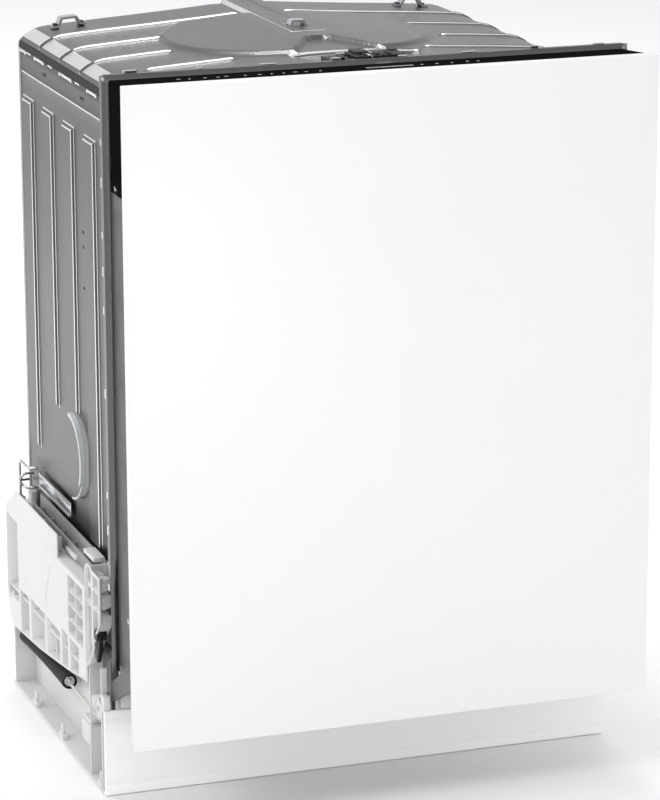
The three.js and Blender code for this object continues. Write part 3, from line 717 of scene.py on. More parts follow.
def make_digits(box, z):
    """Remaining time in seven-segment figures."""
    bm = bmesh.new()
    segments = {"a": (0, 2), "b": (1, 1.5), "c": (1, 0.5), "d": (0, 0), "e": (-1, 0.5), "f": (-1, 1.5),
                "g": (0, 1)}
    figures = {"2": "abged", "1": "bc", "0": "abcdef", "5": "afgcd"}
    cy = middle(box[1])
    start = middle(box[0]) - 7.5
    for i, figure in enumerate("2:15"):
        cx = start + i * 5 - (0 if i < 2 else 1)
        if figure == ":":
            for dy in (-1, 1):
                slab(bm, (cx - 0.8, cx - 0.2), (cy + dy - 0.3, cy + dy + 0.3), (z, z + 0.12), 0)
            continue
        for s in figures[figure]:
            du, dv = segments[s]
            u, v = cx + du * 1.3, cy + (dv - 1) * 2.1
            if du:
                slab(bm, (u - 0.28, u + 0.28), (v - 0.85, v + 0.85), (z, z + 0.12), 0)
            else:
                slab(bm, (u - 1, u + 1), (v - 0.28, v + 0.28), (z, z + 0.12), 0)
    piece("display_figures", bm, "door", "black_glass", "print_white")


def make_door_shell():
    """Outer door: front sheet, ribbed sides and bottom tray."""
    x, y, z = SHELL
    for name, s in SIDES:
        bm = bmesh.new()
        ribs = [z[0] + 60 + 92 * k for k in range(5)]
        vs = lines(z[0], z[1], 40, around(ribs, (-16, -14, -4, -2, 2, 4, 14, 16)))
        us = lines(y[0], y[1], 12, [y[0] + 1, y[0] + 20, y[0] + 22, y[1] - 16, y[1] - 14, y[1] - 1])

        def place(u, v):
            rib = max(plateau(v, r - 16, r + 16, 2.5) for r in ribs) * plateau(u, y[0] + 20, y[1] - 14, 2.5)
            return (s * (x[1] - 0.01 - 1.1 * rib), u, v)
        relief(bm, us, vs, place)
        piece(f"door_side_{name}", bm, "door", "shell_steel", wall=1.1, outward=(s, 0, 0))
        bm = bmesh.new()
        for k in range(3):
            lathe(bm,
                  [(0, s * (x[1] + 0.5)), (2.4, s * (x[1] + 0.5)), (3.4, s * (x[1] + 0.1)),
                   (3.4, s * (x[1] - 1)), (0, s * (x[1] - 1))], "x", (y[0] + 12, z[0] + 118 + 184 * k), 14)
        piece(f"door_side_screws_{name}", bm, "door", "bright_steel")
    bm = bmesh.new()
    slab(bm, (x[0] + 1.2, x[1] - 1.2), (y[0], y[0] + 1.1), (z[0], z[1]), 0.3)
    half = ARM[0][0] - 7
    slab(bm, (-half, half), (y[0] + 1.2, y[1]), (z[0], z[0] + 1.2), 0.3)
    for k in range(7):
        cx = -210 + 70 * k
        slab(bm, (cx - 18, cx + 18), (y[0] + 24, y[0] + 27), (z[0] - 0.4, z[0] + 1.6), 0.3)
    piece("door_outer_sheet", bm, "door", "shell_steel", "dark_steel", stands_for=["door_outer_shell"])


def make_door_liner():
    """Stainless inner door: flat rim, stepped bowl, beads and the dispenser's cut-out."""
    x, y, z = LINER
    d = node_box("dispenser_body")
    hole = (d[0][0] - 0.3, d[0][1] + 0.3, d[2][0] - 0.3, d[2][1] + 0.3)
    bolt = node_box("latch_bolt")
    notch = (bolt[0][0] - 1, bolt[0][1] + 1, bolt[2][0] - 1, z[1] + 1)
    beads = [z[0] + 62, z[0] + 86, z[0] + 110]
    steps = [x[0] + 30, x[1] - 30]
    us = lines(x[0], x[1], 14,
               around(steps, (-6, -4.5, -3, -1.5, 0, 1.5, 3, 4.5, 6)) + list(hole[:2]) + list(notch[:2])
               + [hole[0] - 12, hole[0] - 8, hole[1] + 8, hole[1] + 12])
    vs = lines(z[0], z[1], 14,
               around(beads)
               + around([z[0] + 38, z[1] - 34, z[0] + 150, z[1] - 60],
                        (-6, -4.5, -3, -1.5, 0, 1.5, 3, 4.5, 6)) + list(hole[2:])
               + [notch[2], hole[2] - 12, hole[2] - 8, hole[3] + 8, hole[3] + 12])

    def place(u, v):
        bowl = plateau(u, x[0] + 25, x[1] - 25, 11) * plateau(v, z[0] + 33, z[1] - 29, 11)
        island = plateau(u, x[0] + 52, x[1] - 52, 9) * plateau(v, z[0] + 146, z[1] - 56, 9)
        bead = sum(ridge(v, b, 3.4) for b in beads) * plateau(u, x[0] + 60, x[1] - 60, 12)
        seat = plateau(u, hole[0] - 12, hole[1] + 12, 5) * plateau(v, hole[2] - 12, hole[3] + 12, 5)
        sunk = 6.5 * bowl - 3.2 * island * (1 - seat) - 2.4 * bead
        sunk = sunk * (1 - seat) + 0.2 * seat
        return (u, y[1] - 0.05 - max(0.0, sunk), v)
    bm = bmesh.new()
    relief(bm, us, vs, place, lambda u, v: not (
        (hole[0] < u < hole[1] and hole[2] < v < hole[3]) or (notch[0] < u < notch[1] and notch[2] < v)))
    piece("door_inner_sheet", bm, "door", "bright_steel", "inner_steel", stands_for=["door_inner_liner"],
          wall=1.0, outward=(0, 1, 0))
    screw = bmesh.new()
    lathe(screw, [(0, 0.9), (1.2, 0.9), (1.5, 1.5), (3.0, 1.3), (3.8, 0), (0, 0)], "y", (0, 0), 14)
    rows = [(s * (x[1] - 12), y[1] - 0.1, z[0] + 16 + 102 * k) for _, s in SIDES for k in range(7)]
    repeats("door_inner_screws", screw, rows, "door", "bright_steel")
    coat_node("door_striker", "bright_steel")
    coat_node("door_bottom_seal", "dark_rubber")


def make_dispenser():
    """Detergent tray and lid, rinse-aid knob and the case behind them."""
    body, lid, cap = (node_box(n) for n in ("dispenser_body", "dispenser_lid", "rinse_aid_cap"))
    bm = bmesh.new()
    x, y, z = body
    face = y[1]
    cup = ((lid[0][0] + 6, lid[0][1] - 6), (lid[2][0] + 6, lid[2][1] - 6))
    us = lines(x[0], x[1], 12,
               [x[0] + 1, x[0] + 3, x[1] - 1, x[1] - 3, *cup[0], cup[0][0] + 6, cup[0][1] - 6])
    vs = lines(z[0], z[1], 12,
               [z[0] + 1, z[0] + 3, z[1] - 1, z[1] - 3, *cup[1], cup[1][0] + 6, cup[1][1] - 6])
    cx, cz = middle(cap[0]), middle(cap[2])
    us = sorted(set(us) | set(lines(cx - 30, x[1] - 3, 2.5)))
    vs = sorted(set(vs) | set(lines(cz - 30, cz + 30, 2.5)))

    def place(u, v):
        rim = plateau(u, x[0], x[1], 3) * plateau(v, z[0], z[1], 3)
        inside = plateau(u, cup[0][0], cup[0][1], 5) * plateau(v, cup[1][0], cup[1][1], 5)
        r = math.hypot(u - cx, v - cz)
        well = ease((25.5 - r) / 2.5)
        return (u, face - 2.2 + 2.0 * rim - 26 * inside - 17.0 * well, v)
    relief(bm, us, vs, place)
    piece("dispenser_tray", bm, "door", "grey_plastic", stands_for=["dispenser_body"], wall=1.6,
          outward=(0, 1, 0))
    bm = bmesh.new()
    low = lid[1][0]
    prism(bm, rounded(lid[0], lid[2], 7, 4), "y", low, low + 2.2, 0.5, 2)
    prism(bm, rounded((lid[0][0] + 8, lid[0][1] - 8), (lid[2][0] + 8, lid[2][1] - 26), 5, 4), "y",
          low + 2.1, low + 2.9, 0.4)
    for k in range(3):
        slab(bm, (lid[0][0] + 26, lid[0][1] - 26), (low + 2.1, low + 2.95),
             (lid[2][1] - 20 + 5 * k, lid[2][1] - 18 + 5 * k), 0.3)
    piece("dispenser_lid_cover", bm, "dispenser_lid", "grey_plastic", stands_for=["dispenser_lid"])
    bm = bmesh.new()
    r = (cap[0][1] - cap[0][0]) / 2
    lathe(bm,
          [(0, cap[1][0] + 0.2), (r - 1, cap[1][0] + 0.2), (r - 0.3, cap[1][0] + 1),
           (r - 0.3, cap[1][1] - 5), (r - 1.6, cap[1][1] - 4), (r - 4, cap[1][1] - 4),
           (r - 5, cap[1][1] - 5), (0, cap[1][1] - 5)], "y", (cx, cz), 48)
    prism(bm, rounded((cx - 17, cx + 17), (cz - 2.6, cz + 2.6), 2.4, 3), "y", cap[1][1] - 5.5,
          cap[1][1] - 0.1, 0.6, 2)
    piece("rinse_aid_knob", bm, "rinse_aid_cap", "cap_blue", stands_for=["rinse_aid_cap"])
    bm = bmesh.new()
    slab(bm, (x[0] + 8, x[1] - 8), (y[0], face - 20), (z[0] + 8, z[1] - 8), 2, 2)
    slab(bm, (x[1] - 26, x[1] - 8), (y[0] - 0.5, face - 14), (z[0] + 22, z[0] + 44), 1)
    piece("dispenser_case", bm, "door", "grey_plastic", "dark_rubber")


# ---------------- tub
ROOF_OUTLINE = [(-267, 780), (-264, 783), (-259, 786.6), (-253, 789.7), (-250, 791.3), (-241, 793.6),
                (-230, 794.7), (-194, 797.3), (-134, 801), (-74, 805), (-36, 808), (0, 808.5)]
roof_height = table([(x, z) for x, z in ROOF_OUTLINE] + [(-x, z) for x, z in ROOF_OUTLINE[-2::-1]])
ROOF_BEADS = ((459.4, -400, -24), (459.4, 24, 400), (372.4, -400, -139), (372.4, 138, 400),
              (286.6, -400, -157), (286.6, 153, 400), (200, -219, -112), (200, 101, 400))
BEAD_WIDTH = 2.1
BOSS = (-2, 330, 155)  # middle across, middle behind the panel's face, radius
BOSS_CROWN = 1.2
BOSS_REAR = 448  # the boss ends in a straight line there
BOSS_NECK = 256  # in front of it the boss is split for the latch's hollow
HOLLOW = (-30, 62)  # the latch's hollow across, where it is narrowest
HOLLOW_FRONT, HOLLOW_REAR = 84, 186
HOLLOW_DEPTH = 5.2


def roof_relief(x, depth):
    """Beads, the round boss and the latch's hollow, as height above the plain roof."""
    rise = 0.0
    for bead, low, high in ROOF_BEADS:
        rise = max(rise, sizes().bead_rise / MM * ridge(depth, bead, BEAD_WIDTH) * plateau(x, low, high, 8))
    cx, cy, radius = BOSS
    r = math.hypot(x - cx, depth - cy)
    boss = ease((radius - r) / 7)
    if depth < BOSS_NECK:
        half = 8 + (BOSS_NECK - depth) * 0.55
        boss *= ease((abs(x - cx) - half) / 5)
    boss *= ease((BOSS_REAR - depth) / 9)
    rise = rise * (1 - boss) + (sizes().boss_rise / MM + BOSS_CROWN * (1 - (r / radius) ** 2)) * boss
    flare = (depth - HOLLOW_FRONT) * 0.32
    hollow = plateau(x, HOLLOW[0] - flare, HOLLOW[1] + flare, 6) * ease((HOLLOW_REAR - depth) / 6)
    return rise - HOLLOW_DEPTH * hollow


ROOF_CURL = 9  # radius of the roof's bent rear edge
# place, length
HEM_CLIPS = ((533, 22), (505, 9), (461, 36), (412, 10), (347, 48), (296, 10), (238, 34), (184, 9),
             (121, 24))


def make_roof():
    """Pressed roof sheet, its hem and the clips along it."""
    half, y = ROOF[0][1], ROOF[1]
    latch_x = (LATCH[0][0] - 0.6, LATCH[0][1] + 0.6)
    latch_y = LATCH[1][1] + 0.5
    us = lines(-half, half, 4, [u for u, _ in ROOF_OUTLINE] + [-u for u, _ in ROOF_OUTLINE] + list(latch_x)
               + [half - 1, 1 - half])
    hem = [(0.6, half - 0.2, 776.4), (1.2, half - 2.4, 775.6), (1.8, half - 2.4, 766)]
    us = [-half - h[0] for h in hem[::-1]] + us + [half + h[0] for h in hem]
    depths = lines(y[0] - FRONT, y[1] - FRONT, 4.2,
                   around([b[0] for b in ROOF_BEADS], (-5, -3.4, -2, -1, 0, 1, 2, 3.4, 5))
                   + around([183], (-3, -1.5, 0, 1.5, 3)) + [latch_y - FRONT]
                   + [y[1] - FRONT - d for d in (1, 2.4, 4.2, 6.4, 9)])
    rear = y[1] - FRONT

    def place(u, depth):
        fall = ROOF_CURL - math.sqrt(max(0.0, ROOF_CURL ** 2 - max(0.0, depth - rear + ROOF_CURL) ** 2))
        for beyond, across, height in hem:
            if abs(abs(u) - half - beyond) < 0.01:
                return (math.copysign(across, u), behind(depth), height - fall)
        height = roof_height(u) - (1.6 if abs(u) > half - 0.5 else 0)
        return (u, behind(depth), height + roof_relief(u, depth) - fall)

    def painted_highlight_cells(u, depth):
        """Cells painted with a highlight: the beads' and the boss's flanks and the rounded side edges."""
        # painted highlight along the rounded bend from roof to side
        if abs(u) > 250:
            return abs(u) < half - 4 and roof_relief(u, depth) < 0.4
        slope = roof_relief(u, depth + 0.8) - roof_relief(u, depth - 0.8)
        if depth < 190:
            return slope > 1.0 and roof_relief(u, depth) > -2.8
        return slope > 1.25 and (depth > 270 or abs(u) > 100)
    bm = bmesh.new()
    relief(bm, us, depths, place, lambda u, d: not (latch_x[0] < u < latch_x[1] and behind(d) < latch_y),
           painted_highlight_cells)
    # roof in the lighter steel copy, painted light
    piece("tub_roof", bm, "cabinet", "tub_steel", "roof_steel", stands_for=["tub_top"], wall=0.9,
          outward=(0, 0, 1), soft=40, painted_highlight_finish="burnished_steel", inside="inner_steel")
    for name, s in SIDES:
        bm = bmesh.new()
        # dark strip just outside the roof's hem: painted shadow under the hem
        slab(bm, mirrored(s, half + 0.2, half + 0.9), span(540, 62), (770, 778.6), 0.2)
        piece(f"hem_sealing_strip_{name}", bm, "cabinet", "dark_rubber")
        bm = bmesh.new()
        for depth, length in HEM_CLIPS:
            low = 765.5 + (2 if length < 12 else 0)
            slab(bm, mirrored(s, half - 2.6, half - 0.2), span(depth - length / 2, depth + length / 2),
                 (low, low + 3.6), 0.6, 2)
            for end in (-1, 1):
                slab(bm, mirrored(s, half - 2.6, half),
                     span(depth + end * length / 2 - 2.6, depth + end * length / 2 + 2.6),
                     (low - 0.8, low + 4.6), 0.7, 2)
        # real clips, coloured in the near-white steel of the painted highlights
        piece(f"hem_clips_{name}", bm, "cabinet", "bright_steel", "burnished_steel")


def make_bridge():
    """Raised channel over the roof with its clip, and the two loop clips behind."""
    x, y, z = BRIDGE
    bm = bmesh.new()
    us = lines(x[0], x[1], 5,
               [x[0] + 0.4, x[0] + 1.5, x[0] + 3, x[1] - 0.4, x[1] - 1.5, x[1] - 3, -8, -6, 6, 8])
    vs = lines(y[0], y[1], 12, [y[0] + d for d in (0, 1, 2.4, 4)] + [y[1] - d for d in (0, 1, 2.4, 4)])

    def place(u, v):
        edge = min(u - x[0], x[1] - u)
        end = min(v - y[0], y[1] - v)
        drop = 4.6 * fall_off(edge, 3) + 4.6 * fall_off(end, 4)
        groove = 1.2 * plateau(u, -8, 8, 2) * plateau(v, y[0] + 20, y[1] - 14, 8)
        return (u, v, z[1] + 1.4 - min(drop, 5.6) - groove)
    # bright cells along the side edges and the front end take the painted highlight
    relief(bm, us, vs, place, None, lambda u, v: min(u - x[0], x[1] - u) < 3.4 or v - y[0] < 4)
    # bridge in the lighter steel copy, painted light
    piece("roof_bridge", bm, "cabinet", "tub_steel", "roof_steel", stands_for=["top_bridge"], wall=1.2,
          outward=(0, 0, 1), painted_highlight_finish="burnished_steel")
    top = z[1]
    bm = bmesh.new()
    strap = [(-1.3, -7), (1.3, -7), (1.3, 7), (-1.3, 7)]
    for depth, path in ((331,
                         [(-14, top + 0.6), (-9, top + 1), (-6.5, top + 6.4), (6.5, top + 6.4),
                          (9, top + 1), (14, top + 0.6)]),
                        (513,
                         [(-238, 796.4), (-230, 797.4), (-226, 806.4), (-209, 807.6), (-204, 800),
                          (-197, 799.6)]),
                        (513,
                         [(184, 799.6), (191, 800), (196, 807.6), (213, 806.4), (218, 797.4),
                          (225, 796.4)])):
        sweep(bm, [(u, behind(depth), v) for u, v in path], strap)
    piece("roof_loop_clips", bm, "cabinet", "bright_steel", soft=20)
    bm = bmesh.new()
    for cx, cz in ((-232, 796.6), (-202, 798.8), (189, 798.8), (219, 796.6)):
        slab(bm, (cx - 3, cx + 3), span(509, 518), (cz - 3, cz + 3.4), 0.6, 2)
    for cx in (-10.5, 10.5):
        slab(bm, (cx - 2.2, cx + 2.2), span(327.5, 334.5), (top - 1, top + 2.4), 0.5, 2)
    piece("roof_clip_feet", bm, "cabinet", "black_plastic")


PAD_BOTTOMS = (300, 371, 384, 248)
PAD_TOP = 715
PAD_PITCH, PAD_WIDTH = 87.5, 45
PAD_WALL = 3.6
SEAM = 743  # height of the line below the roof's hem
SEAM_ENDS = (201, 543)  # behind the panel's face
SEAM_RISE = 0.9


def make_tub_side(name, s):
    """Side wall with four upright pads and a seam; the right one is the left one's mirror image."""
    _, y, z = SIDE_RIGHT
    first = y[1] + 0.3 - 11.1
    seam_y = [behind(d) for d in SEAM_ENDS]
    pads = [(first - PAD_WIDTH - PAD_PITCH * k, first - PAD_PITCH * k, bottom)
            for k, bottom in enumerate(PAD_BOTTOMS)]
    edges = [v for a, b, _ in pads
             for v in around((a,), (-1, 0, 0.8, 1.8, 2.8, 3.6, 5)) + around((b,), (-3.6, -1.8, 0, 1))]
    us = lines(y[0], y[1], 12, edges + [seam_y[0], behind(205), behind(539), seam_y[1]])
    vs = lines(z[0], z[1], 14,
               around([p[2] for p in pads], (-1, 0, 1.8, 3.6))
               + around([PAD_TOP], (-5, -3.6, -2.8, -1.8, -0.8, 0, 1))
               + around([SEAM], (-3, -1.6, -0.8, 0.8, 1.6, 3)) + around([212], (-3, 0, 3)))

    def place(u, v):
        pad = max(plateau(u, a, b, PAD_WALL) * plateau(v, low, PAD_TOP, PAD_WALL) for a, b, low in pads)
        seam = ridge(v, SEAM, 1.5) * plateau(u, *seam_y, 4)
        return (s * (TUB_HALF + sizes().pad_rise / MM * pad + SEAM_RISE * seam), u, v)

    # Painted highlights: thin bright lines along each pad's front and top edges and along the seam.
    def painted_highlight_cells(u, v):
        for a, b, low in pads:
            if a - 1 < u < b and low < v < PAD_TOP + 1:
                inside = min(u - a, PAD_TOP - v)
                return inside < 0.8 or 2.8 < inside < 5
        return abs(v - SEAM) < 0.8 and seam_y[0] < u < seam_y[1]
    bm = bmesh.new()
    relief(bm, us, vs, place, None, painted_highlight_cells)
    piece(f"tub_wall_{name}", bm, "cabinet", "tub_steel", stands_for=[f"tub_side_{name}"], wall=0.8,
          outward=(s, 0, 0), painted_highlight_finish="burnished_steel", inside="inner_steel")
    bm = bmesh.new()
    for depth in (440, 281, 200):  # slots below the roof's hem
        prism(bm, rounded(span(depth - 7, depth + 7), (752.4, 755.6), 1.5, 3), "x",
              *mirrored(s, TUB_HALF - 0.5, TUB_HALF + 0.25), 0.1)
    for height in (603, 586, 539):
        lathe(bm,
              [(0, s * (TUB_HALF + 0.5)), (1.7, s * (TUB_HALF + 0.5)), (2.4, s * (TUB_HALF - 0.4)),
               (0, s * (TUB_HALF - 0.4))], "x", (behind(286), height), 16)
    piece(f"tub_wall_slots_{name}", bm, "cabinet", "tub_steel", "dark_rubber")


REAR_RIBS = (-190, -110, 110, 190)
REAR_RIB_ENDS = (300, 730)
REAR_BOSS = (520, 88)  # height and radius of the round step


def make_tub_back():
    """Rear wall that follows the roof's outline, with four ribs and a round step."""
    x, y, z = BACK
    us = lines(x[0], x[1], 12, [x[0] + d for d in (3, 8, 14, 20)] + [x[1] - d for d in (3, 8, 14, 20)]
               + around(REAR_RIBS) + lines(-92, 92, 4))
    edge = [(u, h - 3.2) for u, h in ROOF_OUTLINE[1:]]
    top = table(sorted(edge + [(-u, h) for u, h in edge[:-1]] + [(-267.5, 776.5), (267.5, 776.5)]))

    def height(u, share):
        return z[0] + share * (top(u) - z[0])

    def rib(u, v):
        return max(ridge(u, r, 2.6) for r in REAR_RIBS) * plateau(v, *REAR_RIB_ENDS, 14)

    def place(u, share):
        v = height(u, share)
        r = math.hypot(u, v - REAR_BOSS[0])
        boss = ease((REAR_BOSS[1] - r) / 5) - 0.6 * ease((REAR_BOSS[1] - 18 - r) / 5)
        rim = plateau(u, x[0], x[1], 9) * plateau(v, z[0], top(u), 9)
        return (u, y[0] + (y[1] - y[0]) * 0.2 + 1.0 * rim + 3.4 * rib(u, v) + 2.6 * boss, v)
    bm = bmesh.new()
    # bright cells on the ribs' flanks take the painted highlight
    relief(bm, us, lines(0, 1, 0.008), place, None, lambda u, share: 0.25 < rib(u, height(u, share)) < 0.9)
    piece("tub_rear_wall", bm, "cabinet", "tub_steel", stands_for=["tub_back"], wall=0.9, outward=(0, 1, 0),
          painted_highlight_finish="burnished_steel", inside="inner_steel")


def make_tub_floor():
    """Floor with raised wheel tracks, rounded into the walls, dished to the sump."""
    x, y, z = FLOOR
    sump = node_box("sump")
    cx, cy = middle(sump[0]), middle(sump[1])
    track_in = 232
    salt = node_box("salt_cap")
    sx, sy = middle(salt[0]), middle(salt[1])
    us = lines(x[0], x[1], 8,
               around([-track_in, track_in], (-3, -1.5, 0, 1.5, 3)) + lines(cx - 80, cx + 80, 4))
    vs = lines(y[0], y[1], 8,
               around([y[0] + 4, y[1] - 6], (-3, -1.5, 0, 1.5, 3)) + lines(cy - 80, cy + 80, 4))
    radius = 60

    def place(u, v):
        track = ease((abs(u) - track_in) / 3) * plateau(v, y[0] + 2, y[1] - 4, 3)
        r = math.hypot(u - cx, v - cy)
        dish = 3.2 * ease((150 - r) / 90)
        raised = max(track * 10.4, 1.6 * ease((40 - math.hypot(u - sx, v - sy)) / 4))
        return (u, v, z[0] + 5.0 - dish + raised * 0.96 - 0.8)
    bm = bmesh.new()
    relief(bm, us, vs, place, lambda u, v: math.hypot(u - cx, v - cy) > radius - 1)
    for v in bm.verts:
        r = math.hypot(v.co.x - cx, v.co.y - cy)
        if any(e.is_boundary for e in v.link_edges) and r < radius + 12:
            v.co.x = cx + (v.co.x - cx) * radius / r
            v.co.y = cy + (v.co.y - cy) * radius / r
    piece("tub_floor_pan", bm, "cabinet", "bright_steel", "inner_steel", stands_for=["tub_floor"], wall=1.0,
          outward=(0, 0, 1))
    bm = bmesh.new()
    lathe(bm,
          [(34, z[0] + 1.4), (62, z[0] + 1.4), (66, z[0] + 2.6), (66, z[0] + 4.4), (62, z[0] + 4.6),
           (40, z[0] + 3.2), (34, z[0] + 3.2)], "z", (cx, cy), 64, closed=True)
    piece("fine_filter_plate", bm, "cabinet", "bright_steel", "inner_steel")
    hole = bmesh.new()
    lathe(hole, [(0, -0.2), (1.3, -0.2), (1.3, 0.25), (0, 0.25)], "z", (0, 0), 8)
    dots = [(cx + r * math.cos(a), cy + r * math.sin(a), z[0] + 3.3 + (r - 40) * 0.06)
            for r in (43, 48, 53, 58)
            for a in [2 * math.pi * k / int(r * 0.9) for k in range(int(r * 0.9))]]
    repeats("fine_filter_holes", hole, dots, "cabinet", "bright_steel", "dark_steel")


TAB_LENGTHS = (7, 4, 9, 5, 5, 8, 4, 6)  # half lengths of the tabs along the flange's top
TAB_HEIGHTS = (252, 318, 356, 470, 560, 604, 642, 700, 742)  # tabs up the flange's sides


def make_front_frame():
    """Flange round the tub's mouth with its folds, tabs and slots."""
    x, y, z = FRAME
    mouth = (-258, 258, 204, 784)
    arm = (ARM[0][0] - 6.1, ARM[0][1] + 1.2, 275)
    bolt = node_box("latch_bolt")
    pin = (bolt[0][0] - 1, bolt[0][1] + 1, bolt[2][0] - 1, bolt[2][1] + 1)
    slot_heights = [330 + 130 * k for k in range(4)]
    us = lines(x[0], x[1], 20, [mouth[0], mouth[1], -arm[1], -arm[0], arm[0], arm[1], *pin[:2]])
    vs = lines(z[0], z[1] - 3.4, 20, [mouth[2], mouth[3], arm[2], *pin[2:]])

    def keep(u, v):
        if mouth[0] < u < mouth[1] and mouth[2] < v < mouth[3]:
            return False
        if arm[0] < abs(u) < arm[1] and v < arm[2]:
            return False
        return not (pin[0] < u < pin[1] and pin[2] < v < pin[3])
    bm = bmesh.new()
    relief(bm, us, vs, lambda u, v: (u, y[0] + 0.05, v), keep)
    # flange in the lighter steel copy, painted light against its shade
    piece("front_flange", bm, "cabinet", "tub_steel", "roof_steel", stands_for=["front_frame"], wall=1.1,
          outward=(0, -1, 0))
    bm = bmesh.new()
    for _, s in SIDES:  # folded outer edges and tabs on the flange's top
        slab(bm, mirrored(s, x[1] - 1.2, x[1]), (y[1], y[1] + 9), (z[0] + 120, z[1] - 5), 0.4)
        slab(bm, mirrored(s, 274, 282), (y[1], y[1] + 7), (z[1] - 5, z[1] - 3.8), 0.3)
    slab(bm, (x[0] + 4, x[1] - 4), (y[1], y[1] + 7), (z[1] - 4.8, z[1] - 3.6), 0.3)
    # folds in the lighter steel copy, painted light
    piece("front_flange_folds", bm, "cabinet", "tub_steel", "roof_steel")
    bm = bmesh.new()
    for k, length in enumerate(TAB_LENGTHS):
        cx = -266 + 76 * k
        slab(bm, (cx - length, cx + length), (y[1] + 0.2, y[1] + 6),
             (z[1] - 4, z[1] - 0.2 if k % 3 == 0 else z[1] - 2), 0.4)
    for k, h in enumerate(TAB_HEIGHTS):
        for _, s in SIDES:
            slab(bm, mirrored(s, x[1] - 5 - k % 3, x[1] + 0.4), (y[1] + 4, y[1] + 8.6),
                 (h - 4 - k % 2 * 3, h + 4), 0.4)
    piece("front_flange_tabs", bm, "cabinet", "tub_steel", "bright_steel")
    bm = bmesh.new()
    for _, s in SIDES:
        for h in slot_heights:
            prism(bm, rounded(mirrored(s, 284, 292), (h - 9, h + 9), 3.4, 4), "y", y[0] - 0.1, y[0] + 0.3,
                  0.1)
    piece("front_flange_slots", bm, "cabinet", "tub_steel", "shell_steel")


def make_gasket():
    """Rubber seal round the tub's mouth."""
    x, y, z = node_box("tub_gasket")
    outer = x[1] - 4
    corner, bend = 22, z[1] - 26
    path = [(-outer, z[0]), (-outer, bend)]
    path += [(-outer + corner - corner * math.cos(a), bend + corner * math.sin(a))
             for a in [math.pi / 16 * k for k in range(1, 9)]]
    path += [(outer - corner + corner * math.sin(a), bend + corner * math.cos(a))
             for a in [math.pi / 16 * k for k in range(9)]]
    path += [(outer, z[0])]
    y_mid = middle(y)
    profile = [(-3.4, -2.6), (-1.2, -3.9), (1.4, -3.9), (3.5, -2.8), (3.5, -0.8), (2.0, 0.2), (2.2, 3.6),
               (-1.8, 3.8), (-2.2, 0.4), (-3.5, -0.4)]
    bm = bmesh.new()
    sweep(bm, [(u, y_mid, v) for u, v in path], profile)
    piece("door_gasket", bm, "cabinet", "dark_rubber", stands_for=["tub_gasket"], soft=50)


def make_latch():
    """Latch case with its springs and bolt."""
    x, y, z = LATCH
    bm = bmesh.new()
    mid = (y[0] + y[1]) / 2
    bolt = node_box("latch_bolt")
    slab(bm, x, (y[0], y[1]), (z[0], bolt[2][0] - 0.5), 0.6)
    slab(bm, (x[0], bolt[0][0] - 0.5), (y[0], y[1]), (bolt[2][0] - 1, z[1] - 3), 0.8, 2)
    slab(bm, (bolt[0][1] + 0.5, x[1]), (y[0], y[1]), (bolt[2][0] - 1, z[1] - 6), 0.8, 2)
    slab(bm, (bolt[0][0] - 1, bolt[0][1] + 1), (mid - 2, y[1]), (bolt[2][1] + 0.6, z[1] - 1), 0.8, 2)
    top = z[1] - 3.5
    slab(bm, (x[0] + 26, x[1] - 2), (y[0] + 8, y[1] - 2), (top, z[1] + 0.5), 0.8, 2)
    slab(bm, (x[0] + 30, x[0] + 46), (y[1] - 26, y[1] - 3), (z[1], z[1] + 3.2), 0.8, 2)
    slab(bm, (x[0] + 6, x[0] + 20), (y[0] + 4, y[0] + 30), (top - 1, z[1] - 1.2), 0.8, 2)
    slab(bm, (x[0] + 9, x[0] + 13), (y[0] + 4, y[1] - 24), (top, z[1] + 1.6), 0.6)
    for k in range(6):
        slab(bm, (x[0] + 30 + 7 * k, x[0] + 33 + 7 * k), (y[0] + 10, y[0] + 22 + 3 * (k % 3)),
             (z[1], z[1] + 1.2 + k % 2 * 0.9), 0.4)
    lathe(bm, [(0, top), (6, top), (6, z[1] + 1), (5, z[1] + 1.8), (0, z[1] + 1.8)], "z",
          (x[1] - 8, y[1] - 9), 24)
    piece("latch_case", bm, "cabinet", "black_plastic", stands_for=["latch_housing"])
    bm = bmesh.new()
    slab(bm, (x[0] + 14, x[0] + 24), (y[0] + 34, y[1] - 6), (top, z[1] + 0.2), 0.4)
    slab(bm, (x[0] + 47, x[0] + 50), (y[1] - 24, y[1] - 6), (z[1], z[1] + 1.6), 0.3)
    slab(bm, (x[0] + 34, x[0] + 44), (y[0] + 36, y[0] + 38), (z[1] + 0.4, z[1] + 1.2), 0.3)
    piece("latch_springs", bm, "cabinet", "bright_steel")
    coil, coil_radius, advance = [], 2.4, 0.36
    for k in range(90):
        a = k * math.pi / 5
        coil.append((x[0] + 27 + coil_radius * math.cos(a) + 16, y[0] + 8 + k * advance,
                     z[1] - 1.4 + coil_radius * math.sin(a)))
    wires("latch_coil_spring", [coil], 0.5, "cabinet", "bright_steel", bend=0)
    bm = bmesh.new()
    slab(bm, *bolt, 1.2, 2)
    piece("latch_bolt_bar", bm, "latch_bolt", "bright_steel", stands_for=["latch_bolt"])


# ---------------- base
LOWER_EDGE = table([(189, 110), (205, 109), (274, 98), (395, 83), (520, 73), (534, 84), (542, 98),
                    (549.5, 150)])
